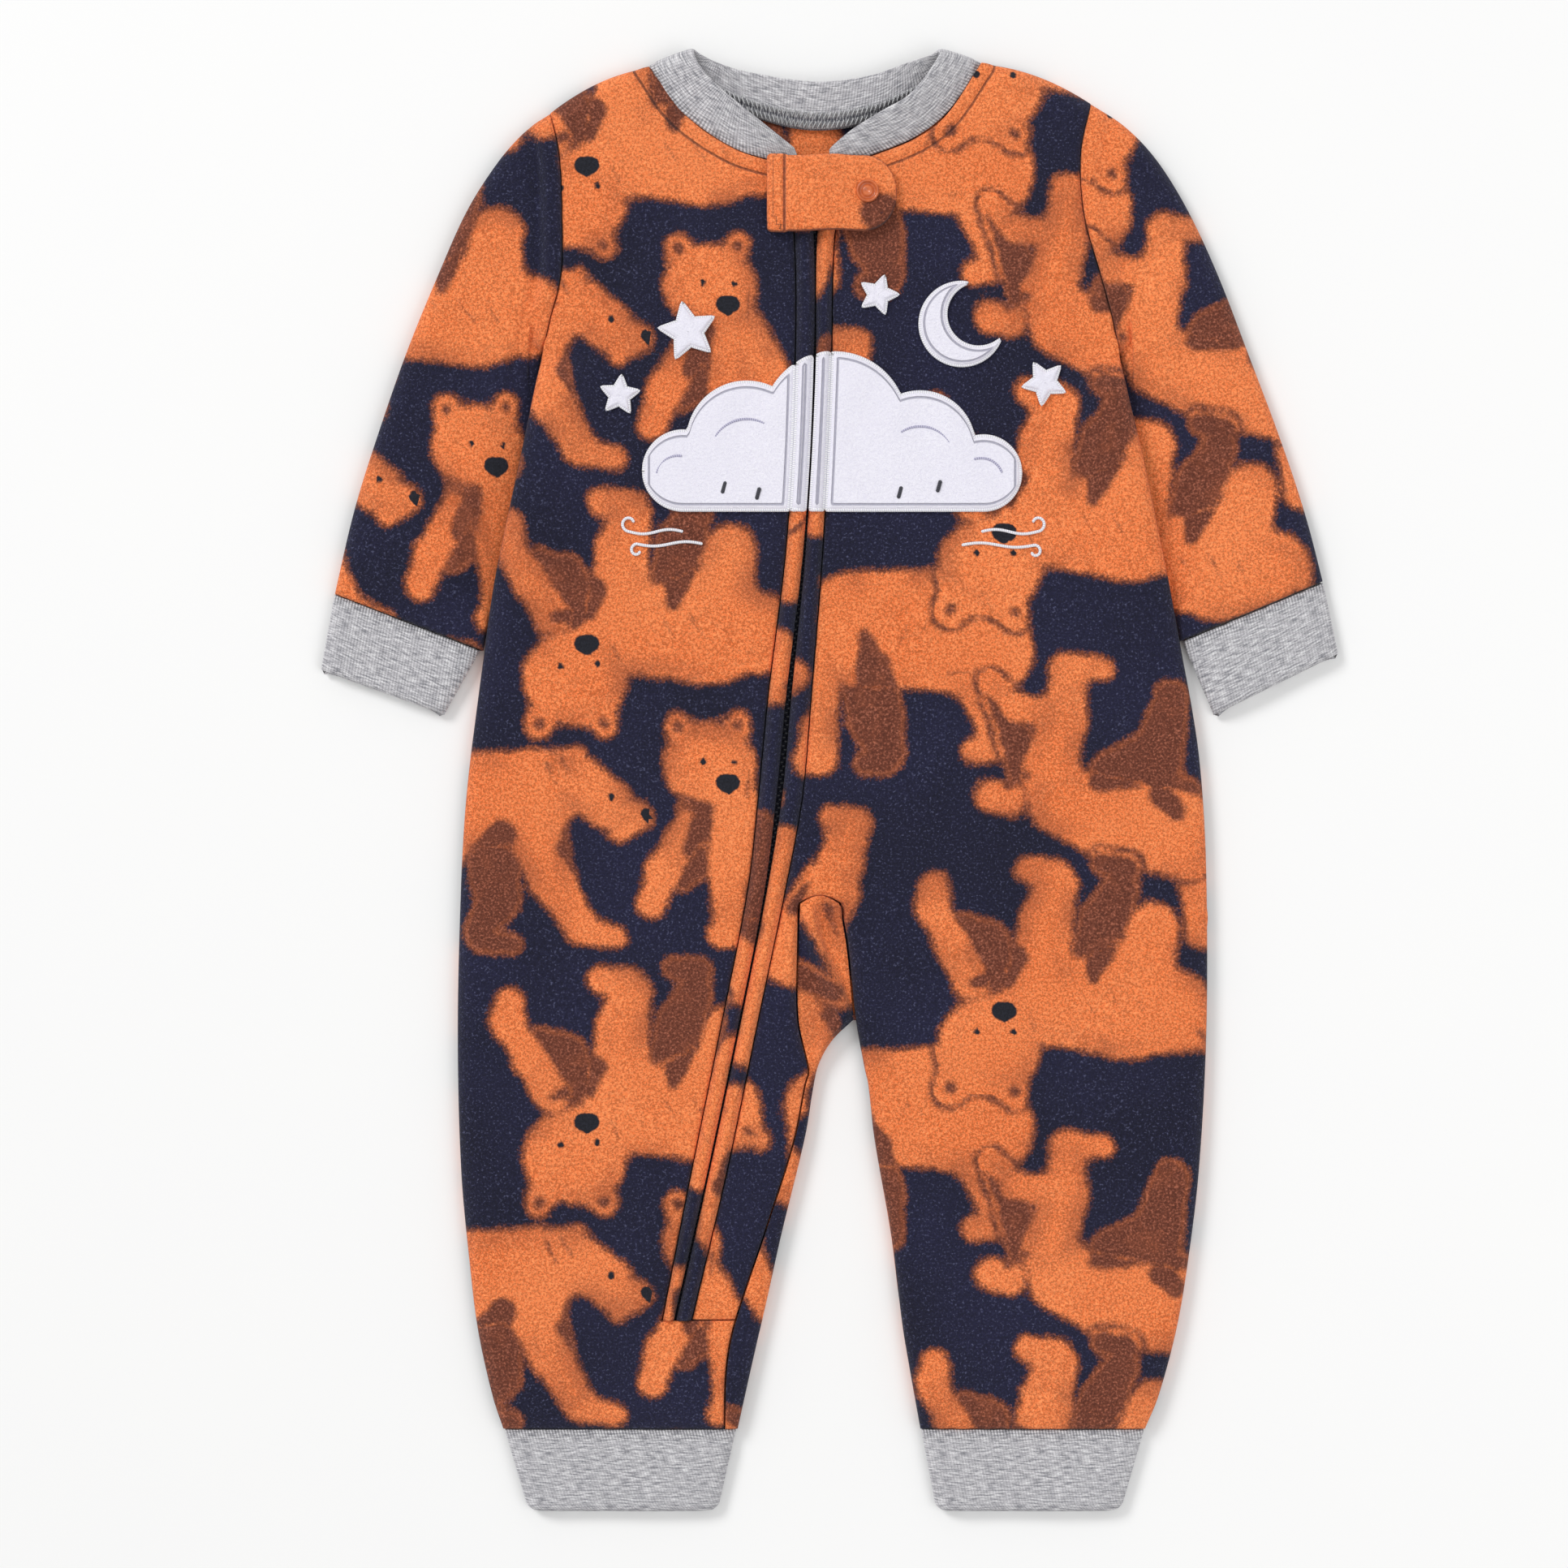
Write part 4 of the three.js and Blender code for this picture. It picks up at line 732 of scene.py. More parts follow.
def makeSolid(name, base, deep, rough, scale, metal=0.0, coat=0.0, depth=0.00004):
    # moulded or cast finish: a little tone and gloss change, and fine pitting
    material, tree, shader = newMaterial(name)
    place = tree.nodes.new("ShaderNodeTexCoord")
    cloudy = noise(tree, place.outputs["Object"], scale, 3.0)
    pits = noise(tree, place.outputs["Object"], scale * 7, 2.0)
    mixed = mixColour(tree, ramp(tree, cloudy, 0.3, 0.7), base, deep)
    shine = ramp(tree, pits, 0.2, 0.8, rough - 0.06, rough + 0.1)
    coverShader(tree, shader, mixed, shine, pits, depth, {"Metallic": metal, "Coat Weight": coat})
    return material


snapEnamel = makeSolid("orange snap enamel", colour(214, 110, 56), colour(186, 90, 44), 0.34, 380, coat=0.5)
snapMetal = makeSolid("snap metal", colour(190, 190, 194), colour(150, 150, 156), 0.35, 300, metal=1.0)
zipPlastic = makeSolid("zip teeth", colour(22, 23, 34), colour(14, 15, 23), 0.5, 500)
zipPaint = makeSolid("zip slider paint", colour(34, 35, 52), colour(24, 25, 38), 0.36, 300, coat=0.4)


def makeTape():
    # twill tape: diagonal ridges from a slanted wave of the place on the tape
    material, tree, shader = newMaterial("zip tape")
    place = tree.nodes.new("ShaderNodeTexCoord")
    split = tree.nodes.new("ShaderNodeSeparateXYZ")
    wire(tree, place.outputs["Object"], split.inputs[0])
    slant = sums(tree, "ADD", times(tree, split.outputs[0], 5200), times(tree, split.outputs[1], 6900))
    wave = sums(tree, "SINE", slant)
    fuzz = noise(tree, place.outputs["Object"], 2600, 2.0)
    share = ramp(tree, sums(tree, "ADD", wave, fuzz), -0.8, 1.6)
    base = mixColour(tree, share, colour(16, 17, 26), colour(34, 36, 54))
    coverShader(tree, shader, base, ramp(tree, fuzz, 0.2, 0.8, 0.8, 0.94), wave, 0.00012, {})
    return material


tapeCloth = makeTape()
print("materials made")


# The body: plan tables and the height of the front

body = dict(thick=2.2, top=8.6, seam=4.3, gap=0.15, edge=8.0, armpit=177, ankle=-266, shoulderBow=3.3,
            archRise=3.0, spacing=1.9)
sideTable = dict(
    y=[278, 257, 232, 207, 188, 161, 134, 79, 21, -13, -53, -106, -160, -199, -226, -253, -266],
    left=[-115.6, -111, -109.8, -110.3, -115, -120.7, -126.3, -137.7,
          -146, -149.7, -151.7, -152.7, -151.3, -147.7, -144.3, -138.3, -134],
    right=[107.2, 103, 104.4, 111.3, 116.4, 121.6, 128, 139.3, 150.3,
           153.7, 155, 154.7, 151.7, 147, 142.3, 135, 129.6])
frontInnerTable = dict(
    y=[-50, -68, -98, -119, -124, -148, -184, -224, -242, -266],
    left=[-12.6, -13.3, -13.3, -8.9, -10.2, -15, -26.4, -39.6, -42.7, -43.4],
    right=[4.6, 7.7, 10.8, 14.6, 15.8, 18.6, 25, 30, 33, 37.3])
backInnerTable = dict(
    y=[-98.3, -106.3, -116, -125, -146, -186, -213, -239, -266],
    left=[9.6, 1.3, -4.3, -6.5, -10, -19.7, -25.7, -31.7, -37.7],
    right=[10.8, 12.6, 14, 16, 18.3, 25.2, 28.6, 32.6, 37.3])
tuckTable = dict(y=[175, 163, 150, 96, 80, 66, 50], under=[-0.8, 1, 4, 4, 2.5, 0.2, -0.6],
                 lift=[0, 4.8, 5.3, 5.3, 5, 3, 0])
liftReach = 34
zipTable = dict(
    y=[251, 236, 224, 166, 98, 34, -6, -44, -98, -160, -221],
    x=[-6.2, -5.9, -5.8, -6.2, -10, -16.8, -20.6, -26, -36.6, -49.6, -63.4],
    gap=[10.4, 9, 1.6, 0.9, 0.9, 2.2, 2.4, 1, 0.8, 0.8, 0.8],
    left=[8, 8, 7.8, 7.4, 7, 7.2, 7.2, 6.8, 6.8, 6.4, 4.6],
    right=[7.4, 7.2, 7, 6.2, 6.8, 8, 8.2, 7.4, 6.8, 7, 6.4])
zipTop, zipEnd = 251, -221
ways = dict(left=-1, right=1)
frontNeckline = lineThrough([(-74.4, 292.6), (-61.2, 274), (-40.4, 259.5),
                             (-21, 253.2), (-6, 249.6), (3, 251.4), (18, 256.4),
                             (35.2, 263.4), (47.8, 273), (62.2, 294.2)], 200)
backNeckline = lineThrough([(-74.4, 292.6), (-51, 283.2), (-33.7, 275.6),
                            (-9, 269.8), (14, 272), (31, 278.4), (62.2, 294.2)], 200)
tips = dict(left=(-115.0, 274.0), right=(107.2, 278.0))
folds = [  # from x, y to x, y; width; depth, below 0 for a ridge
    (-18, -36, -23, -96, 3.5, 1.3), (-64, 236, -96, 196, 9, 0.9), (62, 238, 94, 204, 9, 0.8),
    (-118, 40, -66, 8, 12, 1.0),
    (120, 34, 70, -6, 13, 1.0), (14, -52, 52, -86, 10, 1.1), (-100, -128, -60, -152, 11, 0.9),
    (112, -146, 62, -172, 12, 1.0),
    (-14, -38, -17, -92, 2.4, -0.9), (-27, -44, -30, -84, 3.4, 0.5),
    (-112, 172, -78, 150, 7, 0.8), (112, 172, 82, 146, 8, 0.8),
    (-60, 60, -30, 44, 14, 0.6), (40, 70, 92, 84, 15, -0.5), (-40, -180, -84, -190, 10, 0.5),
    (60, -210, 110, -214, 9, 0.5),
    (24, -120, 30, -190, 8, 0.5), (-128, -60, -98, -92, 12, 0.7), (132, -70, 100, -110, 12, 0.7),
    (-96, 262, -72, 246, 7, 0.5),
]
sideEdge = {side: follow(sideTable, "y", side) for side in ("left", "right")}
frontInner = {side: follow(frontInnerTable, "y", side) for side in ("left", "right")}
backInner = {side: follow(backInnerTable, "y", side) for side in ("left", "right")}
zipColumn = {key: follow(zipTable, "y", key) for key in ("x", "gap", "left", "right")}


def tuck(column, y):
    # a column of the tuck table, held at its end value beyond the armhole and the cuff
    ends = tuckTable[column][0]
    return np.where((y > 175) | (y < 50), ends, follow(tuckTable, "y", column)(y))


def bodyLift(x, y):
    # the body rides up over the strip of sleeve that lies under each side
    fromSide = np.minimum(x - sideEdge["left"](y), sideEdge["right"](y) - x)
    lift = np.where((y > 175) | (y < 50), 0, np.maximum(0, tuck("lift", y)))
    return lift * (1 - smooth((fromSide - body["edge"]) / (liftReach - body["edge"])))


def grooveX(side, y):
    # x of the seam between the front and a welt
    way = ways[side]
    return zipColumn["x"](y) + way * (zipColumn["gap"](y) / 2 + zipColumn[side](y) + 0.3)


def frontHeight(x, y):
    # flat top, less each soft trough, with slow uneven waves and gathers beside the zip seams
    z = body["top"] - 1.2 * (1 - smooth((y - body["ankle"]) / 9))
    for ax, ay, bx, by, width, depth in folds:
        dx, dy = bx - ax, by - ay
        t = np.clip(((x - ax) * dx + (y - ay) * dy) / (dx * dx + dy * dy), 0, 1)
        z = z - depth * hump(np.hypot(x - ax - t * dx, y - ay - t * dy), width)
    z = z + 0.28 * np.sin(x / 21 + 1.3 * np.sin(y / 43)) * np.sin(y / 29 + 0.7 + 0.4 * np.sin(x / 37))
    return z + bodyLift(x, y)


def gathers(d, along, size=0.28, reach=9, wave=11):
    # short ripples square to a seam, fading away from it
    ripple = np.sin(2 * np.pi * along / wave + 1.7 * np.sin(along / 23))
    ripple = ripple * (0.6 + 0.4 * np.sin(along / 37 + 1))
    return size * ripple * hump(d, reach)


def seamDip(d, depth=1.7, reach=3.0):
    # depth at the seam, less a quarter circle over the reach
    return depth * (1 - rounded(d, reach))


def gridLengths(plan):
    # distance of each grid point from its row's and column's first and last points, along the grid
    acrossStep = np.linalg.norm(np.diff(plan, axis=1), axis=2)
    across = np.hstack([np.zeros((len(plan), 1)), np.cumsum(acrossStep, axis=1)])
    return across, across[:, -1:] - across


def topRegion(topLine, corners, bottomX, bottomY, leftSide, rightSide, rows):
    # patch between the shoulder and neck line and the first straight row, its ends on the two side lines
    share = (bottomX - bottomX[0]) / (bottomX[-1] - bottomX[0])
    walked = lengthAlong(topLine)
    at = share * walked[-1]
    for corner in corners:
        where = walked[np.argmin(np.linalg.norm(topLine - np.array(corner), axis=1))]
        at[np.argmin(np.abs(at - where))] = where
    top = np.stack([np.interp(at, walked, topLine[:, c]) for c in range(2)], 1)
    v = (spread(100, rows, True, False)[0] / 100)[:-1, None]
    bottom = np.stack([bottomX, np.full(len(bottomX), bottomY)], 1)
    plan = lerp(top[None], bottom[None], v[..., None])
    ends = []
    for side, end in ((leftSide, 0), (rightSide, -1)):
        y = lerp(top[end, 1], bottomY, v[:, 0])
        line = np.stack([side(y), y], 1)
        ends.append(line - plan[:, end])
    plan = plan + (1 - share)[None, :, None] * ends[0][:, None] + share[None, :, None] * ends[1][:, None]
    return plan


def shoulderLine(side):
    # straight from the armhole's tip to the neck point, bowed up by a parabola
    tip = np.array(tips[side])
    neck = frontNeckline[0 if side == "left" else -1]
    t = np.linspace(0, 1, 40)[:, None]
    line = lerp(tip, neck, t)
    line[:, 1] += body["shoulderBow"] * 4 * (t * (1 - t))[:, 0]
    return line


leftShoulder, rightShoulder = shoulderLine("left"), shoulderLine("right")
trunkTop = 172.0
zipTopLeft = np.argmin(np.abs(frontNeckline[:, 0] - grooveX("left", zipTop)))
zipTopRight = np.argmin(np.abs(frontNeckline[:, 0] - grooveX("right", zipTop)))


def rowsBetween(high, low, start=False, end=False, spacing=None):
    # row heights from high to low, close together at the marked ends
    count = int((high - low) / (spacing or body["spacing"]))
    return high - spread(high - low, max(count, 18 if start and end else 10), start, end)[0]


def closeShare(y):
    # 0 beside the open armholes, 1 below the armpits, where front and back are sewn edge to edge
    return 1 - smooth((y - body["armpit"] + 4) / 8)


collarStitch = 6.0


def collarGroove(x, y, line):
    # the cloth sinks along the stitching that follows the neckline, and swells between it and the band
    d = distanceTo(line[::4], x, y)
    # the distance returned with it sets the fleece's dark line on the stitching, painted shade in the groove
    return 0.8 * hump(d - collarStitch, 1.5) - 0.5 * hump(d - collarStitch / 2, 1.8), d - collarStitch


def closingFrom(fromSide, fromTop, shoulder, y):
    # distance in from the edges that are sewn shut, at most the width over which the cloth rounds off
    return np.minimum(lerp(body["edge"], fromSide, closeShare(y)), lerp(body["edge"], fromTop, shoulder))


def frontTop(x, y, groove, fromZip, fromSide, fromTop, shoulder, seams, phase):
    # the front's height less the groove and a dip along each seam, plus gathers at zip, side and ankle
    top = frontHeight(x, y) - groove
    top += (gathers(np.where(fromZip < 90, fromZip, 60), y + phase)
            + gathers(fromSide, y * 1.1, 0.22, 8, 13) * (1 - closeShare(y)))
    top += gathers(y - body["ankle"], x, 0.3, 8, 9)
    for d in seams:
        top = top - seamDip(d)
    return top - seamDip(fromTop + 99 * shoulder, 1.0, 2.4) - seamDip(fromSide + 99 * closeShare(y), 1.8, 3.6)


def rowsAcross(start, stop, count):
    # each row's places from start to stop, close together at both ends
    return start[:, None] + spread(stop - start, count, True, True)


def towardsFork(trunk, forkY, start, stop, startAtFork, stopAtFork, forkL, forkR, nA, nB, nC):
    # rows spread evenly at the top, which slide into the fork's own places on the last row
    evenX = rowsAcross(start, stop, nA + nB + nC)
    forkX = np.r_[startAtFork + spread(forkL - startAtFork, nA, True, False)[0],
                  np.linspace(forkL, forkR, nB + 1)[1:],
                  forkR + spread(stopAtFork - forkR, nC, False, True)[0][1:]]
    forkShare = (forkX - startAtFork) / (stopAtFork - startAtFork)
    toFork = smooth((trunkTop - trunk) / (trunkTop - forkY))[:, None]
    return lerp(evenX, start[:, None] + forkShare[None] * (stop - start)[:, None], toFork)


def frontLeft():
    # a grid from the left side to the zip, with more columns to the inner leg below the zip's end
    columns, extra, rowsTop = 66, 24, 52
    trunk = rowsBetween(trunkTop, zipEnd, end=True)
    leg = rowsBetween(zipEnd, body["ankle"], start=True, end=True)
    y = np.r_[trunk, leg[1:]]
    left = sideEdge["left"](y)
    groove = grooveX("left", np.maximum(y, zipEnd))
    legWidth = frontInner["left"](zipEnd) - sideEdge["left"](zipEnd)
    legShare = (grooveX("left", zipEnd) - sideEdge["left"](zipEnd)) / legWidth
    groove = np.where(y < zipEnd, lerp(left, frontInner["left"](y), legShare), groove)
    across = rowsAcross(left, groove, columns)
    more = groove[:, None] + spread(frontInner["left"](y) - groove, extra, False, True)[:, 1:]
    x = np.hstack([across, more])
    plan = np.stack([x, np.repeat(y[:, None], x.shape[1], 1)], -1)
    line = np.vstack([leftShoulder[:-1], frontNeckline[:zipTopLeft + 1]])
    topPlan = topRegion(line, [frontNeckline[0]], across[0], trunkTop,
                        sideEdge["left"], lambda v: grooveX("left", np.minimum(v, zipTop)), rowsTop)
    topPlan = np.concatenate([topPlan, np.repeat(topPlan[:, -1:], extra, 1)], 1)
    plan = np.concatenate([topPlan, plan], 0)
    x, y = plan[..., 0], plan[..., 1]
    # distances to the sewn sides
    fromSide = np.abs(x - sideEdge["left"](y))
    block = plan[:, :columns + 1]
    fromZip = np.full(x.shape, 99.0)
    fromZip[:, :columns + 1] = gridLengths(block)[1]
    fromZip = np.where(y < zipEnd, 99.0, fromZip)
    fromInner = np.where(y <= zipEnd + 0.01, np.abs(frontInner["left"](y) - x), 99.0)
    fromEndSeam = np.where((y <= zipEnd + 0.01) & (x > grooveX("left", zipEnd) - 1), np.abs(zipEnd - y), 99.0)
    fromAnkle = y - body["ankle"]
    fromTop = distanceTo(line[::2], x, y)
    shoulder = smooth((-70 - x) / 10) * smooth((y - 250) / 10)
    share = rounded(closingFrom(fromSide, fromTop, shoulder, y), body["edge"])
    groove, stitch = collarGroove(x, y, frontNeckline[:zipTopLeft + 1])
    seams = (fromZip, fromEndSeam, fromAnkle, fromInner)
    top = frontTop(x, y, groove, fromZip, fromSide, fromTop, shoulder, seams, 0)
    z = lerp(body["seam"] + body["gap"] + bodyLift(x, y), top, share)
    keep = np.ones((x.shape[0] - 1, x.shape[1] - 1), bool)
    keep[:, columns:] = (y[1:, columns:-1] < zipEnd - 0.01)
    points = np.dstack([x, y - 0.25 * (fromEndSeam < 0.2), z])
    return clothPiece("frontLeft", points, body["thick"], ["front_left"], fleeceCloth, keep=keep,
                      printAt=cutPlace("frontLeft", x, y), stitch=stitch)


def frontRight():
    # a grid from the zip to the right side that forks into the strip beside the zip and the right leg
    nA, nB, nC, rowsTop = 16, 10, 82, 52
    forkY = frontInnerTable["y"][0]
    trunk = rowsBetween(trunkTop, forkY, end=True)
    legUpper = rowsBetween(forkY, zipEnd, end=True)[1:]
    legLower = rowsBetween(zipEnd, body["ankle"], end=True)[1:]
    zipR = grooveX("right", trunk)
    forkL, forkR = frontInner["left"](forkY), frontInner["right"](forkY)
    sideAtFork = sideEdge["right"](forkY)
    zipAtFork = grooveX("right", forkY)
    x = towardsFork(trunk, forkY, zipR, sideEdge["right"](trunk), zipAtFork,
                    sideAtFork, forkL, forkR, nA, nB, nC)
    inArch = np.clip((np.arange(nA + nB + nC + 1) - nA) / nB, 0, 1)
    rise = body["archRise"] * np.sin(np.pi * inArch)[None] * hump(trunk[:, None] - forkY, 9)
    plan = np.stack([x, np.repeat(trunk[:, None], x.shape[1], 1) + rise], -1)
    # below the fork: the strip of left leg beside the zip, and the right leg
    below = np.r_[legUpper, legLower]
    yStrip = np.maximum(below, zipEnd)
    stripX = rowsAcross(grooveX("right", yStrip), frontInner["left"](yStrip), nA)
    legX = rowsAcross(frontInner["right"](below), sideEdge["right"](below), nC)
    bridge = lerp(stripX[:, -1:], legX[:, :1], (np.arange(1, nB) / nB)[None])
    lower = np.hstack([stripX, bridge, legX])
    forkRow = plan[-1].copy()
    ease = smooth((forkY - below) / 14)[:, None]
    moved = np.hstack([np.repeat(stripX[:, -1:] - forkL, nA + 1, 1), np.zeros((len(below), nB - 1)),
                       np.repeat(legX[:, :1] - forkR, nC + 1, 1)])
    lower = lerp(forkRow[None, :, 0] + moved, lower, ease)
    lower[:, 0], lower[:, nA] = stripX[:, 0], stripX[:, -1]
    lower[:, nA + nB], lower[:, -1] = legX[:, 0], legX[:, -1]
    plan = np.concatenate([plan, np.stack([lower, np.repeat(below[:, None], lower.shape[1], 1)], -1)], 0)
    line = np.vstack([frontNeckline[zipTopRight:], rightShoulder[::-1][1:]])
    topPlan = topRegion(line, [frontNeckline[-1]], x[0], trunkTop,
                        lambda v: grooveX("right", np.minimum(v, zipTop)), sideEdge["right"], rowsTop)
    plan = np.concatenate([topPlan, plan], 0)
    x, y = plan[..., 0], plan[..., 1]
    column = np.broadcast_to(np.arange(x.shape[1]), x.shape)
    strip, leg = (y < forkY - 0.01) & (column <= nA), (y < forkY - 0.01) & (column >= nA + nB)
    fromSide = np.abs(sideEdge["right"](y) - x)
    fromZip = np.where(leg, 99, gridLengths(plan)[0])
    fromInner = np.where(strip, np.abs(frontInner["left"](y) - x),
                         np.where(leg, np.abs(x - frontInner["right"](y)), 99))
    archY = forkY + body["archRise"] * np.sin(np.pi * np.clip((x - forkL) / (forkR - forkL), 0, 1))
    fromArch = np.where(strip | leg, 99, np.hypot(np.maximum(np.maximum(forkL - x, x - forkR), 0), y - archY))
    fromEndSeam = np.where(strip, y - zipEnd, 99)
    fromAnkle = y - body["ankle"]
    fromTop = distanceTo(line[::2], x, y)
    shoulder = smooth((x - 58) / 10) * smooth((y - 254) / 10)
    rolled = np.where(strip, smooth((y + 121) / 10), 1)
    closing = closingFrom(fromSide, fromTop, shoulder, y)
    closing = np.minimum(closing, lerp(body["edge"], fromInner, rolled))
    groove, stitch = collarGroove(x, y, frontNeckline[zipTopRight:])
    seams = (fromZip, fromArch, fromEndSeam, fromAnkle, fromInner + 99 * rolled)
    top = frontTop(x, y, groove, fromZip, fromSide, fromTop, shoulder, seams, 5)
    z = lerp(body["seam"] + body["gap"] + bodyLift(x, y), top, rounded(closing, body["edge"]))
    keep = np.ones((x.shape[0] - 1, x.shape[1] - 1), bool)
    lowRow = y[1:, :1] < forkY - 0.01
    keep &= ~(lowRow & (np.arange(x.shape[1] - 1)[None] >= nA) & (np.arange(x.shape[1] - 1)[None] < nA + nB))
    keep &= ~((y[1:, :1] < zipEnd - 0.01) & (np.arange(x.shape[1] - 1)[None] < nA))
    return clothPiece("frontRight", np.dstack([x, y, z]), body["thick"],
                      ["front_right"], fleeceCloth, keep=keep,
                      printAt=cutPlace("frontRight", x, y), stitch=stitch)


backCreases = [  # line, width, depth
    ([(-60, 120), (-20, 90), (30, 96)], 9, 0.7), ([(-90, -40), (-50, -70)], 10, 0.8),
    ([(96, -30), (54, -66)], 11, 0.8),
    ([(-70, 210), (-30, 190)], 8, 0.6), ([(60, -170), (110, -190)], 9, 0.6),
    ([(-110, -170), (-70, -196)], 9, 0.6),
]


def backPanel():
    # like the fronts, in one piece: shut at the sides below the armpits and along the inner legs
    nA, nB, nC, rowsTop = 78, 2, 78, 46
    forkY = backInnerTable["y"][0]
    trunk = rowsBetween(trunkTop, forkY, end=True, spacing=2.1)
    below = rowsBetween(forkY, body["ankle"], end=True, spacing=2.1)[1:]
    left, right = sideEdge["left"](trunk), sideEdge["right"](trunk)
    forkL, forkR = backInner["left"](forkY), backInner["right"](forkY)
    leftAtFork, rightAtFork = sideEdge["left"](forkY), sideEdge["right"](forkY)
    x = towardsFork(trunk, forkY, left, right, leftAtFork, rightAtFork, forkL, forkR, nA, nB, nC)
    legA = rowsAcross(sideEdge["left"](below), backInner["left"](below), nA)
    legC = rowsAcross(backInner["right"](below), sideEdge["right"](below), nC)
    middle = lerp(legA[:, -1:], legC[:, :1], (np.arange(1, nB) / nB)[None])
    lower = np.hstack([legA, middle, legC])
    ease = smooth((forkY - below) / 14)[:, None]
    rowA, rowC = x[-1, :nA + 1], x[-1, nA + nB:]
    stretchA = (legA[:, -1:] - legA[:, :1]) / (rowA[-1] - rowA[0])
    stretchC = (legC[:, -1:] - legC[:, :1]) / (rowC[-1] - rowC[0])
    near = np.hstack([sideEdge["left"](below)[:, None] + (rowA - rowA[0])[None] * stretchA, middle,
                      legC[:, :1] + (rowC - rowC[0])[None] * stretchC])
    lower = lerp(near, lower, ease)
    x = np.vstack([x, lower])
    y = np.repeat(np.r_[trunk, below][:, None], x.shape[1], 1)
    line = np.vstack([leftShoulder[:-1], backNeckline, rightShoulder[::-1][1:]])
    topPlan = topRegion(line, [backNeckline[0], backNeckline[-1]],
                        x[0], trunkTop, sideEdge["left"], sideEdge["right"], rowsTop)
    plan = np.concatenate([topPlan, np.stack([x, y], -1)], 0)
    x, y = plan[..., 0], plan[..., 1]
    column = np.broadcast_to(np.arange(x.shape[1]), x.shape)
    legLeft, legRight = (y < forkY - 0.01) & (column <= nA), (y < forkY - 0.01) & (column >= nA + nB)
    fromSide = np.minimum(x - sideEdge["left"](y), sideEdge["right"](y) - x)
    fromInner = np.where(legLeft, backInner["left"](y) - x, np.where(legRight, x - backInner["right"](y), 99))
    beside = np.maximum(np.maximum(forkL - x, x - forkR), 0)
    fromFork = np.where(legLeft | legRight, 99, np.hypot(beside, y - forkY))
    fromTop = distanceTo(line[::3], x, y)
    shoulder = smooth((np.abs(x + 6) - 64) / 8) * smooth((y - 250) / 10)
    closing = closingFrom(fromSide, fromTop, shoulder, y)
    closing = np.minimum(np.minimum(closing, fromInner), fromFork)
    share = rounded(closing, body["edge"])
    # shallow troughs on the hidden side, upwards from the surface it rests on
    crease = sum(depth * hump(distanceTo(np.array(line), x, y), width) for line, width, depth in backCreases)
    dips = (seamDip(y - body["ankle"], 0.8) + seamDip(fromTop + 99 * shoulder, 0.6)
            + seamDip(fromSide + 99 * closeShare(y), 0.6))
    z = bodyLift(x, y) + (body["seam"] - body["gap"]) * (1 - share) + (crease + dips) * share
    keep = np.ones((x.shape[0] - 1, x.shape[1] - 1), bool)
    keep[:, nA:nA + nB] = ~(y[1:, nA:nA + nB] < forkY - 0.01)
    return clothPiece("backPanel", np.dstack([x, y, z]), body["thick"],
                      ["back"], fleeceCloth, keep=keep,
                      printAt=cutPlace("backPanel", -x, y), flip=True)


gussetLow = 4.4
gussetPrintAndShade = dict(fur=[(-14, -48, 7, 4, -48, 6), (-9, -53, 5.4, 1, -68, 5.2),
                        (1, -68, 5, 8, -88, 4.6), (-12, -80, 6.4, 4, -88, 6),
                        (4, -55, 3.4, 9, -76, 3.6), (-11, -92, 6, -6, -106, 7), (-4, -100, 8, -6, -124, 8)],
                   # brown strokes: two printed patches, and a narrow stroke at the right edge that is painted
                   # shade of the fold beside the roll
                   brown=[(-12, -80, 5.8, 2, -87, 5), (6.5, -54, 2.4, 9.8, -67, 2.8),
                          (0, -96, 4, 3, -102, 4)])


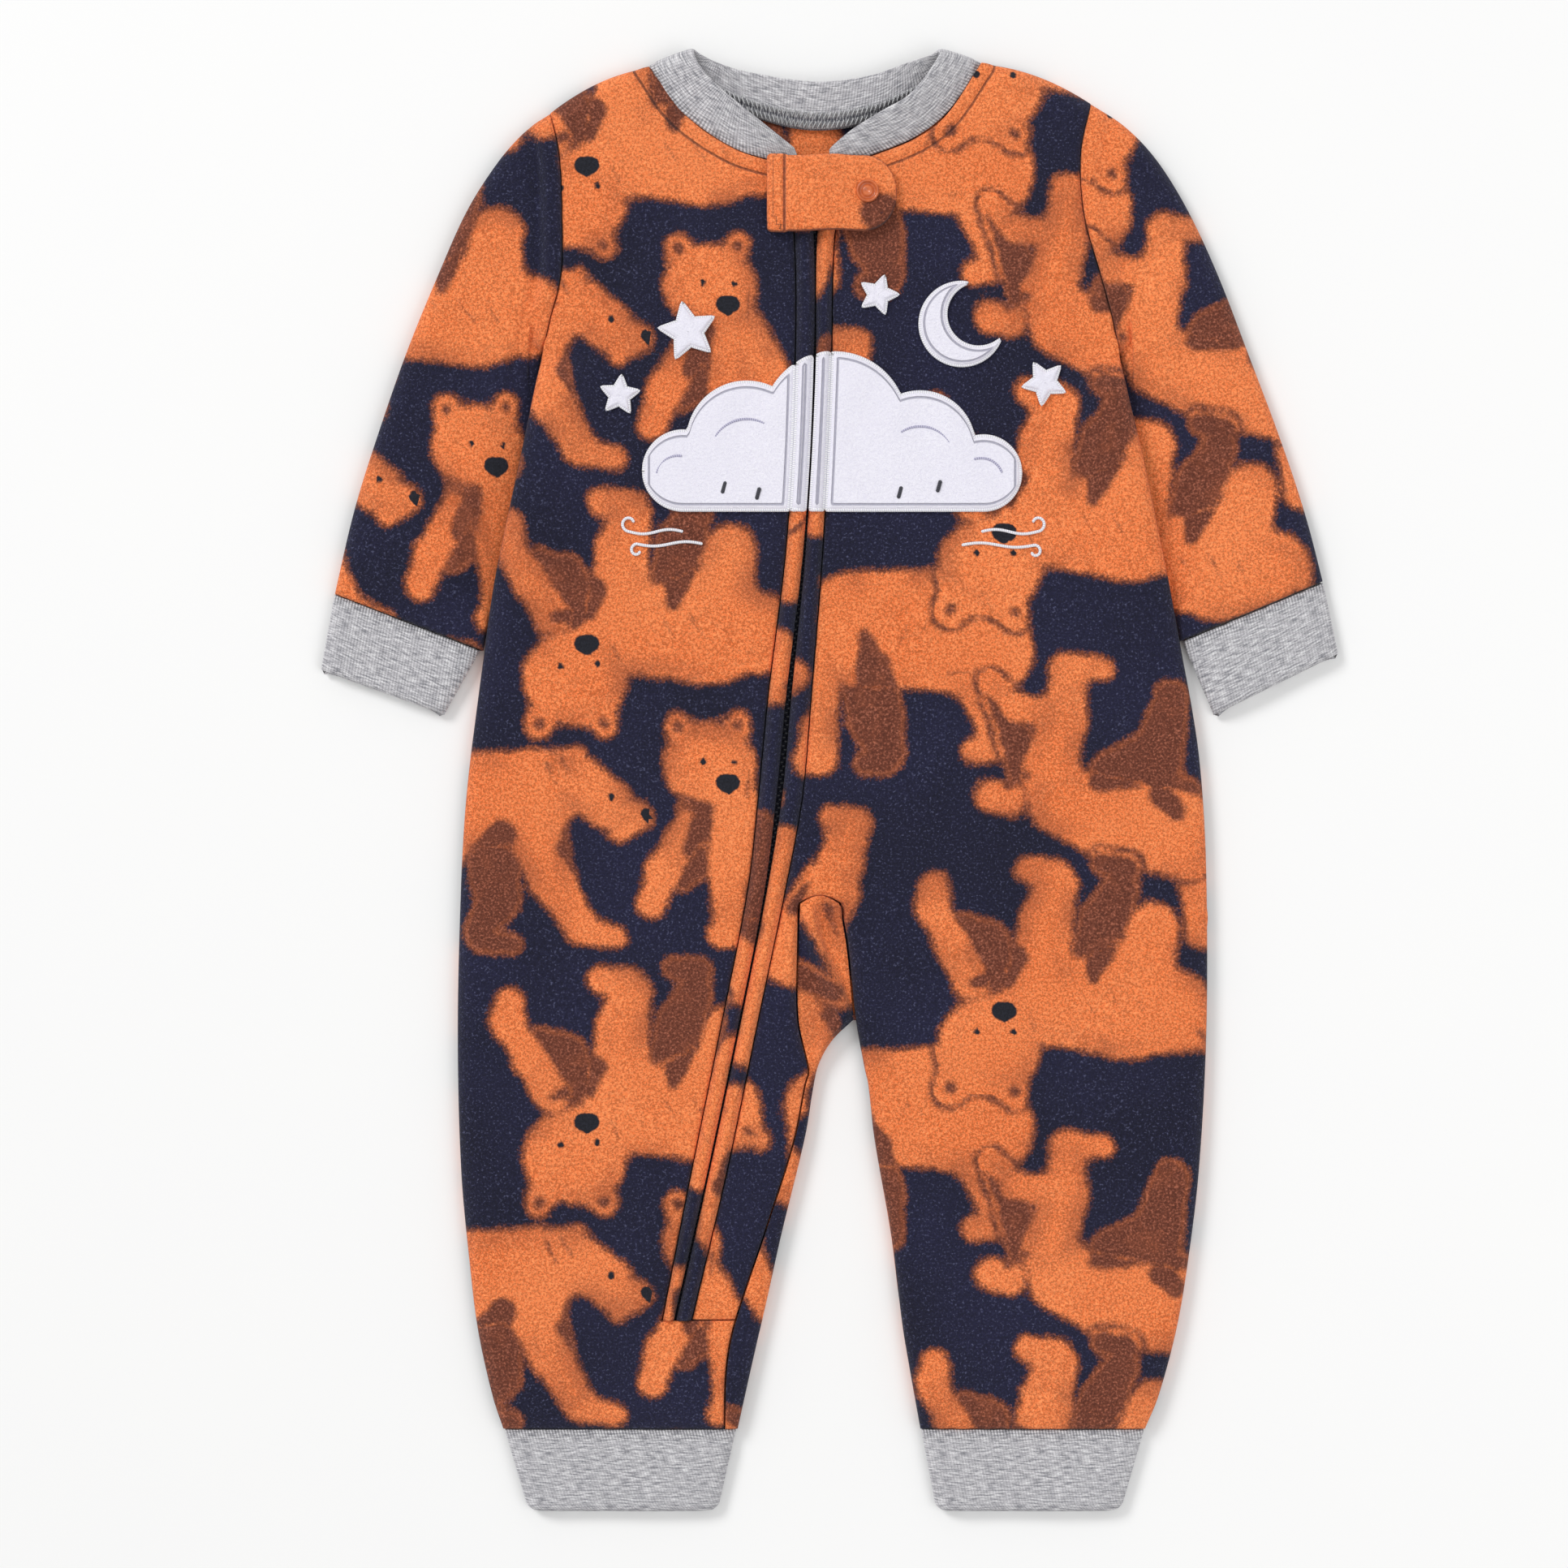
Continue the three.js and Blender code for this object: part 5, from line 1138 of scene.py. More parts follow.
def crotchGusset():
    # a web under the crotch arch that rises into the strip round the left leg's inner edge
    y = np.r_[rowsBetween(-50.3, -98.3, start=True, spacing=1.6),
              rowsBetween(-98.3, body["ankle"], end=True, spacing=1.8)[1:]]
    left = frontInner["left"](y) + 0.6
    onOutline = y <= -98.3
    right = np.where(onOutline, backInner["left"](np.minimum(y, -98.3)), frontInner["right"](y) - 0.75)
    q = (spread(20, 24, True, True)[0] / 20)[None]
    x = lerp(left[:, None], right[:, None], q)
    strip = smooth((-y - 106) / 16)[:, None]
    yy = np.repeat(y[:, None], x.shape[1], 1)
    down = -yy - 50
    fall, lean = smooth(down / 13), 0.26 + 0.6 * smooth(down / 46)
    roll = hump((q - lean) * np.where(q > lean, 2.6, 1.0), 0.25) * smooth(down / 9)
    web = (lerp(8.2, 4.0, fall) + 5.2 * roll - 2.0 * fall * smooth((q - lean - 0.1) / 0.12)
           + 0.9 * hump(np.hypot(x + 7, yy + 100), 8))
    web = np.maximum(web, gussetLow)
    fromEdge = np.where(onOutline[:, None], (1 - q) * (right - left)[:, None], body["edge"])
    top = lerp(web, frontHeight(x, yy) - 0.35, strip)
    arch = (body["archRise"] + 0.3) * np.sin(np.pi * np.clip(q, 0, 1)) * (1 - smooth(down / 14))
    top = top - seamDip(q * (right - left)[:, None] + 2 * (1 - strip), 0.9)
    top = top - seamDip(yy - body["ankle"], 0.9) - seamDip(-50.3 - yy, 0.7, 1.8)
    z = lerp(body["seam"] + body["gap"], top, rounded(fromEdge, body["edge"]))
    fields = printFields(*cutPlace("crotchGusset", x.ravel(), yy.ravel()))
    low = smooth((-yy.ravel() - 112) / 8)
    own = [strokeDistance(x.ravel(), yy.ravel(), gussetPrintAndShade[key], 2)
           for key in ("fur", "brown")] + [np.full(x.size, 60.0)]
    fields = [lerp(near, far, low) for near, far in zip(own, fields)]
    return clothPiece("crotchGusset", np.dstack([x, yy + arch, z]),
                      2.0, ["gusset"], fleeceCloth, fields=fields)


frontLeft()
frontRight()
print("front panels made")
backPanel()
crotchGusset()
print("back and gusset made")


# Sleeves and cuffs: flattened tubes, over the top from the outer edge to the inner one and back below

sleeveTables = dict(
    left=dict(step=list(range(9)), x=[-115.9, -125, -136.3, -149, -161, -174, -186, -195.3, -203.3],
              y=[274, 267.3, 254, 234, 207.3, 175.3, 140.7, 110.7, 76.8],
              inner=[177, 175.4, 172.4, 166.5, 156, 139, 115, 85, 53.4]),
    right=dict(step=list(range(9)), x=[107.6, 121.6, 134.6, 147.3, 159.7, 172, 185, 195, 202.7],
               y=[278, 268.6, 254.6, 234, 207.3, 175.3, 140.7, 110.7, 82],
               inner=[177, 175.4, 172.4, 166.5, 156, 139, 115, 86, 57.4]))
sleeveLook = dict(marginTop=4.9, rollWidth=9.3, roll=dict(left=1.0, right=0.55), thick=2.1,
                  folds=dict(left=[(-150, 170, -136, 150, 6, 0.8), (-170, 150, -150, 128, 8, 0.7),
                                   (-186, 108, -158, 92, 8, 0.5), (-140, 226, -128, 200, 6, 0.6)],
                             right=[(148, 172, 134, 148, 6, 0.8), (172, 148, 150, 124, 8, 0.7),
                                    (188, 112, 160, 98, 8, 0.5), (138, 228, 128, 200, 6, 0.6)]))


def foldDepth(x, y, rows):
    # the sum of the rows' troughs, each a bell curve across its line
    total = np.zeros_like(x)
    for ax, ay, bx, by, width, depth in rows:
        total += depth * hump(distanceTo(np.array([(ax, ay), (bx, by)], float), x, y), width)
    return total


def tubeRows(outer, inner, count, height, shift=None):
    # each ring: count places over the top, the same places back below, with rounded sides of the edge radius
    width = np.linalg.norm(inner - outer, axis=1)
    d = spread(width, count, True, True)
    q = d / width[:, None]
    plan = lerp(outer[:, None], inner[:, None], q[..., None])
    if shift is not None:
        plan[..., 0] += shift(q, width)
    top = height(plan[..., 0], plan[..., 1], q, width[:, None])
    seam = np.minimum(body["seam"], top / 2)
    share = rounded(np.minimum(d, width[:, None] - d), body["edge"])
    over, under = lerp(seam, top, share), seam * (1 - share)
    points = np.concatenate([np.dstack([plan, over]), np.dstack([plan, under])[:, -2:0:-1]], 1)
    around = np.hstack([d, (2 * width[:, None] - d)[:, -2:0:-1]])
    return points, around, np.concatenate([plan[..., 0], (2 * outer[:, :1] - plan[..., 0])[:, -2:0:-1]], 1)


def makeSleeve(side):
    # rings from the armhole to the wrist between the outer line and the body's edge
    way = ways[side]
    table = sleeveTables[side]
    x, y, low = (follow(table, "step", key) for key in ("x", "y", "inner"))
    step = np.r_[0, 0.03, 0.08, 0.15, np.linspace(0.23, 7.86, 100), 7.92, 7.96, 8]
    outer = np.stack([x(step) + np.where(step == 0, way * 0.05, 0), y(step)], 1)
    innerY = low(step)
    inner = np.stack([sideEdge[side](innerY) - way * tuck("under", innerY), innerY], 1)

    def shift(q, width):
        # the first rings follow the armhole, and each ring turns square to the inner edge as it comes to it
        firstY = lerp(outer[0, 1], inner[0, 1], q)
        bow = sideEdge[side](firstY) + way * 0.06 - lerp(outer[0, 0], inner[0, 0], q)
        fromInner = (1 - q) * width[:, None]
        sideways = fromInner * (np.abs(outer[:, 0] - inner[:, 0]) / width)[:, None]
        hook = np.minimum(5.0, 5.0 * step)[:, None]
        turned = np.maximum(0, np.minimum(fromInner, hook) * q - sideways)
        return bow * (1 - smooth(step / 2.2))[:, None] + way * turned

    def height(px, py, q, width):
        # flat top with a roll beside the armhole, folds, and gathers at the cuff
        fromArmhole = np.abs(px - sideEdge[side](np.maximum(py, 150)))
        fade = smooth((py - 150) / 26) * sleeveLook["roll"][side] * (1 - smooth((py - 268) / 8))
        roll = fade * (1.3 * hump(fromArmhole - sleeveLook["rollWidth"] / 2, 3.6)
                       - 1.9 * hump(fromArmhole - sleeveLook["rollWidth"] - 0.6, 2.6))
        margin = (smooth(step / 1.2) * (1 - smooth((step - 7.2) / 0.8)))[:, None]
        nearInner = 1 - smooth(((1 - q) * width - 6) / 16)
        top = body["top"] - 1.2 * smooth((step - 7.4) / 0.6)[:, None] + roll
        top = top - foldDepth(px, py, sleeveLook["folds"][side]) + 0.25 * np.sin(py / 19 + q * 3)
        top = top - seamDip((8 - step[:, None]) * 34, 1.0) - seamDip(step[:, None] * 12, 1.7, 3.4)
        top = top + gathers((8 - step[:, None]) * 34, q * width, 0.3, 8, 9)
        return lerp(top, sleeveLook["marginTop"], nearInner * margin)

    points, _, printX = tubeRows(outer, inner, 44, height, shift)
    name = "sleeve" + side.title()
    return clothPiece(name, points, sleeveLook["thick"], ["sleeve_" + side],
                      fleeceCloth, around=True,
                      printAt=cutPlace(name, printX, points[..., 1]), flip=side == "right")


wristCuffs = dict(left=dict(seamOuter=(-203.4, 76.6), seamInner=(-143.6, 53.4),
                            endOuter=(-209, 45.6), endInner=(-158.3, 27.3)),
                  right=dict(seamOuter=(202.9, 81.4), seamInner=(145, 57.2), endOuter=(209, 52.2),
                             endInner=(158, 27)))
ankleCuffs = dict(left=dict(seam=(-133.6, -38.3), end=(-123.6, -46)),
                  right=dict(seam=(37.6, 129.4), end=(44, 119.7)))
cuffLook = dict(top=6.4, corner=4.0, thick=2.1, ankleEnd=-300)


def cuffHeight(t, gather):
    # puckered at the seam, plump in the middle, rolled in at the folded end
    def height(px, py, q, width):
        # the cuff's flat top, ribbed by gathers, less a dip at the seam and the rounded end
        rows = t[:, None]
        top = cuffLook["top"] + 0.35 * np.sin(np.pi * np.clip(rows, 0, 1)) + 0.2 * np.sin(q * 9 + 2 * rows)
        top = top + gathers(rows * 30, q * width, 0.32, 9, 5.5 + gather) - seamDip(rows * 30, 1.2, 2.0)
        return top - 2.2 * (1 - rounded((1 - rows) * 30, 2.2))
    return height


def makeWristCuff(side):
    # rings between the seam's two ends and the folded end's two corners
    c = {key: np.array(value, float) for key, value in wristCuffs[side].items()}
    t = np.r_[0, 0.01, 0.03, 0.06, np.linspace(0.1, 0.93, 22), 0.955, 0.975, 0.99, 1]
    outer = lerp(c["seamOuter"], c["endOuter"], t[:, None])
    inner = lerp(c["seamInner"], c["endInner"], t[:, None])
    points, around, _ = tubeRows(outer, inner, 40, cuffHeight(t, 0.4))
    uv = np.dstack([around, np.repeat((t * 31)[:, None], around.shape[1], 1)])
    return clothPiece("wristCuff" + side.title(), points, cuffLook["thick"],
                      ["wrist_cuff_" + side], ribCloth, around=True,
                      uv=uv, flip=side == "right")


def makeAnkleCuff(side):
    # rings straight across the leg, narrower by a quarter circle at the folded end's corners
    c = ankleCuffs[side]
    high, low = body["ankle"] - 0.12, cuffLook["ankleEnd"]
    t = np.r_[0, 0.01, 0.03, 0.06, np.linspace(0.1, 0.86, 22), 0.9, 0.935, 0.965, 0.985, 1]
    y = lerp(high, low, t)
    corner = cuffLook["corner"] * (1 - rounded(y - low, cuffLook["corner"]))
    left = lerp(c["seam"][0], c["end"][0], t) + corner
    right = lerp(c["seam"][1], c["end"][1], t) - corner
    points, around, _ = tubeRows(np.stack([left, y], 1), np.stack([right, y], 1), 54, cuffHeight(t, 1.1))
    uv = np.dstack([around, np.repeat((t * 34)[:, None], around.shape[1], 1)])
    return clothPiece("ankleCuff" + side.title(), points, cuffLook["thick"],
                      ["ankle_cuff_" + side], ribCloth, around=True, uv=uv)


for make in (makeSleeve, makeWristCuff, makeAnkleCuff):
    make("left")
    make("right")
print("sleeves and cuffs made")


# Collar: a doubled rib band between its seam and its folded rim, open at the front

collarRows = [  # seam x, y, z, rim x, y, z
    (-11.6, 251.8, 7.4, -14.6, 259.6, 7.9), (-21, 254.4, 7.4, -25.7, 268.2, 9.6),
    (-40, 260.6, 7.5, -36.8, 276.7, 12.2),
    (-60.3, 274.9, 7.4, -47, 285.3, 13.2), (-70.2, 287.4, 6.8, -53.4, 292.8, 12.8),
    (-73.4, 293.2, 4.6, -55.6, 298.8, 10.8),
    (-68, 290.6, 3.2, -52.4, 297.4, 8.4), (-50.6, 282.6, 3.6, -46, 294.4, 7.8),
    (-33.4, 274.1, 4.0, -34, 290.6, 8),
    (-9, 268.1, 4.0, -6, 286.5, 8.2), (14, 270.2, 4.0, 16, 288.9, 8), (30.6, 276.9, 3.8, 30, 293.6, 7.9),
    (56, 292, 3.2, 41.6, 297.4, 8.4), (61.2, 294.6, 4.6, 44.6, 298.8, 10.8),
    (58.6, 289.6, 6.8, 42.8, 293.4, 12.8),
    (47, 274, 7.4, 32.9, 280.8, 13.2), (34.7, 264.6, 7.5, 21.3, 273.9, 12.4),
    (17.7, 257.6, 7.4, 9.6, 267, 9.8),
    (4.4, 253.4, 7.4, 1.6, 260.6, 8.4), (0.4, 252, 7.4, -0.2, 258.6, 7.9),
]
collarLook = dict(half=1.25, along=330, around=26, reach=0.8)


def collarCurves(count):
    # smooth curves through the table's seam and rim, the seam moved out under the panels
    rows = np.array(collarRows, float)
    seamSteps = np.linalg.norm(np.diff(rows[:, :3], axis=0), axis=1)
    rimSteps = np.linalg.norm(np.diff(rows[:, 3:], axis=0), axis=1)
    knots = np.r_[0, np.cumsum((seamSteps + rimSteps) ** 0.5)]
    fine = np.linspace(0, knots[-1], 1200)
    both = np.stack([follow(dict(k=knots, v=rows[:, c]), "k", "v")(fine) for c in range(6)], 1)
    both = evenAlong(both, count)
    out = both[:, :3] - both[:, 3:]
    return both[:, :3] + collarLook["reach"] * out / np.linalg.norm(out, axis=1, keepdims=True), both[:, 3:]


def inTheBack(count):
    # the part of the band whose inside shows, either side of its middle
    return np.abs(np.linspace(-1, 1, count)) < 0.36


def makeCollar():
    # section: out along the top from the seam to the rim and back below, the offset a flattened oval
    seam, rim = collarCurves(collarLook["along"])
    angle = np.arange(collarLook["around"]) * 2 * np.pi / collarLook["around"]
    q = (0.5 - 0.5 * np.cos(angle))[None, :, None]
    offset = np.sign(np.sin(angle)) * np.abs(np.sin(angle)) ** 0.55
    middle = lerp(seam[:, None], rim[:, None], q)
    normal = np.cross(rim - seam, np.gradient((seam + rim) / 2, axis=0))
    normal /= np.linalg.norm(normal, axis=1, keepdims=True)
    walked = lengthAlong((seam + rim) / 2)
    plump = collarLook["half"] * (1 + 0.1 * np.sin(walked / 9)[:, None]) * offset[None]
    plump = plump - 0.3 * hump(q[..., 0] - 0.1, 0.06) * (offset[None] > 0)
    points = middle + normal[:, None] * plump[..., None]
    width = np.linalg.norm(rim - seam, axis=1)[:, None]
    uv = np.dstack([np.repeat(walked[:, None], len(angle), 1), q[..., 0] * width])
    quads = closedTube(len(points), len(angle), -1)
    inBack = inTheBack(len(seam))[:, None]
    # painted shade at the back of the band: a dark dotted row between the cover stitch rows, and a painted
    # shadow along its lowest millimetre
    lines = np.where(inBack, np.where(uv[..., 1] < 1, 0.6, uv[..., 1] - 4.2), 20)
    fields = {"stitch": stitchField(lines).ravel()}
    made = meshObject("neckCollar", points.reshape(-1, 3), quads, fields, uv.reshape(-1, 2))
    return finishPiece(made, ["collar"], ribCloth)


makeCollar()


def collarStitches():
    # two rows of zigzag cover stitch on the band's inside, above the back seam
    seam, rim = collarCurves(400)
    back = inTheBack(len(seam))
    seam, rim = seam[back], rim[back]
    base = evenAlong(np.hstack([seam, rim]), 104)
    low, high = base[:, :3], base[:, 3:]
    lines = []
    for start, stop in ((0.04, 0.17), (0.23, 0.36)):
        share = np.where(np.arange(len(base)) % 2, start, stop)[:, None]
        line = lerp(low, high, share)
        line[:, 2] += 1.35 + 0.8 * start
        lines.append(line)
    return tubePiece("collarCoverStitch", lines, 0.5, greyThread, sides=6)


collarStitches()
print("collar made")


# Zip: two rolled welts, the tape under them with its teeth, the slider and pull

weltLook = dict(rise=1.9, low=-1.9, thick=1.8)


def weltHeight(x, y, q):
    # a half-round roll on the front, with small puckers along it
    roll = lerp(weltLook["low"], weltLook["rise"], np.maximum(np.sin(np.pi * q), 0) ** 0.7)
    pucker = 0.16 * np.sin(2 * np.pi * y / 8.5 + 2 * np.sin(y / 31)) * np.sin(np.pi * q)
    return frontHeight(x, y) + roll + pucker


def weltRows(side, q, rows=250):
    # rows across the welt, from the gap's edge to the seam
    y = np.linspace(zipTop, zipEnd, rows)
    way = ways[side]
    near = zipColumn["x"](y) + way * zipColumn["gap"](y) / 2
    far = near + way * zipColumn[side](y)
    start, stop = (far, near) if way < 0 else (near, far)
    x = lerp(start[:, None], stop[:, None], q[None])
    yy = np.repeat(y[:, None], len(q), 1)
    return x, yy, weltHeight(x, yy, np.repeat(q[None], rows, 0))


def makeWelt(side):
    # the welt's rows in the fleece of its own cut, without eyes or noses
    q = 0.5 - 0.5 * np.cos(np.linspace(0, np.pi, 17))
    x, y, z = weltRows(side, q)
    name = "zipWelt" + side.title()
    fur, brown, dark = printFields(*cutPlace(name, x.ravel(), y.ravel()))
    return clothPiece(name, np.dstack([x, y, z]), weltLook["thick"],
                      ["zip_welt_" + side], fleeceCloth,
                      fields=[fur, brown, dark + 60])


makeWelt("left")
makeWelt("right")


def makeTapePiece():
    # a band along the zip's middle line, sunk below the front, its middle raised
    y = np.linspace(zipTop, zipEnd - 4, 240)
    q = np.linspace(-1, 1, 15)
    centre = zipColumn["x"](np.maximum(y, zipEnd))
    x = centre[:, None] + 11 * q[None]
    z = (frontHeight(centre, y) - 4.1)[:, None] + 0.7 * (1 - np.abs(q[None])) ** 6
    return clothPiece("zipTape", np.dstack([x, np.repeat(y[:, None], len(q), 1), z]),
                      0.8, ["zip_tape"], tapeCloth)


makeTapePiece()
toothLook = dict(pitch=1.7, length=2.6, width=1.0, height=1.1)


def makeTeeth():
    # small blocks on either side of the middle line in turn, each leaning over it
    count = int((232 - zipEnd - 4) / toothLook["pitch"])
    y = 232 - np.arange(count) * toothLook["pitch"]
    way = np.where(np.arange(count) % 2, 1.0, -1.0)
    x = zipColumn["x"](y) + way * 0.55
    z = frontHeight(zipColumn["x"](y), y) - 3.6
    corners = np.array([(-1, -1, 0), (1, -1, 0), (1, 1, 0), (-1, 1, 0),
                        (-0.7, -0.7, 1), (0.7, -0.7, 1), (0.7, 0.7, 1), (-0.7, 0.7, 1)], float)
    corners = corners * [toothLook["length"] / 2, toothLook["width"] / 2, toothLook["height"]]
    points = np.stack([x, y, z], 1)[:, None] + corners[None]
    faces = np.array([(3, 2, 1, 0), (4, 5, 6, 7), (0, 1, 5, 4), (1, 2, 6, 5), (2, 3, 7, 6), (3, 0, 4, 7)])
    quads = (faces[None] + 8 * np.arange(count)[:, None, None]).reshape(-1, 4)
    made = meshObject("zipTeeth", points.reshape(-1, 3), quads)
    return finishPiece(made, [], zipPlastic)


makeTeeth()
sliderLook = dict(y=238.4, length=9, width=6.4, bottom=6.1, top=9.7,
                  pullLength=13, pullWidth=4.4, pullThick=1.0)


def roundedBlock(low, high, rounding=0.22):
    # box whose sides swell to a superellipse: each ring's corner power is 5
    angle = np.arange(28) * 2 * np.pi / 28
    c, s = np.cos(angle), np.sin(angle)
    ring = np.stack([np.sign(c) * np.abs(c) ** 0.4, np.sign(s) * np.abs(s) ** 0.4], 1)
    size = np.array([0.0, 1 - rounding, 1, 1, 1 - rounding, 0.0])
    level = np.array([0, 0, rounding, 1 - rounding, 1, 1])
    centre, half = (np.array(low[:2]) + high[:2]) / 2, (np.array(high[:2]) - low[:2]) / 2
    plan = centre + size[:, None, None] * half * ring[None]
    plan[0], plan[-1] = centre + 0.02 * half * ring, centre + 0.02 * half * ring
    return np.dstack([plan, np.repeat(lerp(low[2], high[2], level)[:, None], len(angle), 1)])


def blocksPiece(name, blocks, nodes, material):
    # several rounded blocks in one mesh
    allPoints, allQuads, start = [], [], 0
    for low, high in blocks:
        rings = roundedBlock(low, high)
        rows, columns = rings.shape[:2]
        allPoints.append(rings.reshape(-1, 3))
        allQuads.append(closedTube(rows, columns, -1) + start)
        start += rows * columns
    return finishPiece(meshObject(name, np.vstack(allPoints), np.vstack(allQuads)), nodes, material)


def makeSlider():
    # two plates, the diamond between them, the bridge on top, and the pull
    s = sliderLook
    x, y, pullTop = float(zipColumn["x"](s["y"])), s["y"], s["top"] + 0.6 + s["pullThick"]
    blocks = [((x - s["width"] / 2, y - s["length"] / 2, s["bottom"]),
               (x + s["width"] / 2, y + s["length"] / 2, s["bottom"] + 1.4)),
              ((x - s["width"] / 2, y - s["length"] / 2, s["top"] - 1.4),
               (x + s["width"] / 2, y + s["length"] / 2, s["top"])),
              ((x - 1.2, y, s["bottom"] + 0.6), (x + 1.2, y + 3.6, s["top"] - 0.4)),
              ((x - 0.9, y - 2.6, s["top"] - 0.3), (x + 0.9, y + 2.6, pullTop - 0.1)),
              ((x - s["pullWidth"] / 2, y + 1 - s["pullLength"], pullTop - s["pullThick"]),
               (x + s["pullWidth"] / 2, y + 1, pullTop))]
    return blocksPiece("zipSlider", blocks, ["zip_slider"], zipPaint)


makeSlider()
print("zip made")


# Snap tab: square at the stitched end, round at the snap end, arched over the zip

tab = dict(left=-25.7, right=27.4, middle=240.3, half=15.4, roundFrom=13,
           thick=3.2, edge=1.5, hem=7.2, collarRise=1.1)
tabArch = dict(x=[-25.7, -16, -7, 2, 10, 16, 27.4], z=[9, 11.4, 12.2, 11.8, 10.8, 10.5, 9.4])
snap = dict(x=15.4, y=240.9, radius=4.75, height=1.1, stud=4)


def makeTab():
    # places along and across the tab; its thickness rounds off at the rim and dips at the hem's stitches
    x = spread(tab["right"] - tab["left"], 58, True, True)[0]
    x = tab["left"] + np.sort(np.r_[x[np.abs(x - tab["hem"]) > 1.1], tab["hem"] + np.linspace(-1, 1, 7)])
    x[-1] -= 0.06
    q = 1 - spread(2, 40, False, False)[0]
    q = np.sin(q * np.pi / 2)
    inRound = np.clip((x - tab["roundFrom"]) / (tab["right"] - tab["roundFrom"]), 0, 1)
    half = tab["half"] * np.sqrt(1 - inRound ** 2.3)
    half = half + 0.5 * (1 - smooth((x - tab["left"] - tab["hem"]) / 1.5))
    half = half - 1.6 * (1 - rounded(x - tab["left"], 2.0))
    xx = np.repeat(x[:, None], len(q), 1)
    wavyRim = 0.35 * np.sin(xx / 5.0 + 1) * (np.abs(q[None]) > 0.9) * smooth((13 - xx) / 8)
    yy = tab["middle"] + q[None] * half[:, None] + wavyRim
    under = follow(tabArch, "x", "z")(xx) + tab["collarRise"] * (q[None] + 1) / 2 * np.where(xx < 0, 1, 0.3)
    fromRim = np.minimum(np.minimum((1 - np.abs(q[None])) * half[:, None], xx - tab["left"]),
                         (tab["right"] - xx) * 1.3)
    hemLine = hump(xx - tab["left"] - tab["hem"], 0.7)
    rimStitch = 0.22 * hump(fromRim - 2.6, 0.7) * (xx > tab["left"] + tab["hem"])
    wrinkle = 0.55 * np.sin((xx * 0.8 + yy) / 3.1 + 1.2 * np.sin(yy / 4))
    wrinkle = wrinkle * hump(np.hypot(xx - 2, yy - 232), 9)
    dimple = 0.9 * hump(np.hypot(xx - snap["x"], yy - snap["y"]), 5.2)
    thick = lerp(tab["edge"], tab["thick"] + 0.35, rounded(fromRim, 3))
    thick = thick - (1.1 * hemLine + rimStitch + dimple) * rounded(fromRim, 2) + wrinkle * rounded(fromRim, 4)
    top, bottom = np.dstack([xx, yy, under + thick]), np.dstack([xx, yy, under])
    rows, columns = xx.shape
    points = np.vstack([top.reshape(-1, 3), bottom.reshape(-1, 3)])
    faces = twoSides(gridQuads(rows, columns)[:, ::-1], rows * columns)
    fromBlot = np.hypot((xx.ravel() - 21) / 1.15, yy.ravel() - 232)
    fur, brown, dark = 0.6 - fromBlot, fromBlot - 8.6, np.full(xx.size, 60.0)
    hemAway = xx - tab["left"] - tab["hem"]
    # stitch field: the hem's stitched line, and a painted shadow line along the rim, left out at the upper
    # left where the light falls
    rimShadeAway = fromRim + 0.12 + 3 * smooth((6 - xx) / 14) * smooth((yy - 228) / 6)
    hem = stitchField(np.where(np.abs(hemAway) < rimShadeAway, hemAway, rimShadeAway)).ravel()
    fields = {"fur": np.tile(fur, 2), "brown": np.tile(brown, 2), "dark": np.tile(dark, 2),
              "stitch": np.tile(hem, 2)}
    made = meshObject("snapTab", points, faces, fields)
    return finishPiece(made, ["snap_tab"], fleeceCloth)


makeTab()


def turnedPiece(name, profile, x, y, z, nodes, material, sides=48):
    # rings of the profile's radius and height about a vertical axis, very small at its two ends
    profile = np.array(profile, float)
    radius = np.maximum(profile[:, 0], 0.01)
    angle = np.arange(sides) * 2 * np.pi / sides
    ring = np.stack([np.cos(angle), np.sin(angle)], 1)
    plan = np.array([x, y]) + radius[:, None, None] * ring[None]
    points = np.dstack([plan, np.repeat((z + profile[:, 1])[:, None], sides, 1)])
    made = meshObject(name, points.reshape(-1, 3), closedTube(len(profile), sides, -1))
    return finishPiece(made, nodes, material)


def makeSnap():
    # cap and stud, each a profile turned round the snap's axis
    under = float(follow(tabArch, "x", "z")(snap["x"])) + tab["collarRise"] * 0.17
    seat, r, h = under + tab["thick"] - 0.45, snap["radius"], snap["height"] + 0.5
    cap = [(0, 0), (r - 0.5, 0), (r - 0.1, 0.25), (r, 0.7), (r - 0.25, h - 0.25),
           (r - 0.6, h), (r - 0.95, h - 0.15), (r - 1.2, h - 0.7),
           (r - 1.45, h - 1.15), (2.7, h - 1.2), (2.4, h - 0.95), (2.0, h - 0.35),
           (1.4, h - 0.1), (0.8, h - 0.3), (0.5, h - 0.6), (0, h - 0.65)]
    stud = [(0, 0), (snap["stud"], 0), (snap["stud"], 0.5), (2.4, 0.66), (2.1, 0.9), (1.9, 1.1), (0, 1.1)]
    turnedPiece("snapCap", cap, snap["x"], snap["y"], seat, ["snap_cap"], snapEnamel)
    turnedPiece("snapStud", stud, snap["x"], snap["y"], body["top"] + 0.3,
                ["snap_stud"], snapMetal)


makeSnap()
print("tab and snap made")


# Felt shapes: a cloud across the zip, a moon and stars, edged with satin stitch

felt = dict(thick=1.1, puff=0.7, border=0.9, line=2.1, seat=0.35)
cloudPuffs = [(-60, 127, 16), (-34, 139, 24), (2, 146, 29), (37, 137, 22), (63, 126, 15)]
cloudBase = dict(bottom=111, middle=138.0)
moon = dict(x=54, y=187, r=17, biteX=61, biteY=191, biteR=13.5)
stars = [("star_left", -58, 184, 12, 0.2), ("star_top", 20, 199, 8, -0.3),
         ("star_right", 88, 163, 9, 0.5), ("star_low", -86, 158, 8, -0.1)]


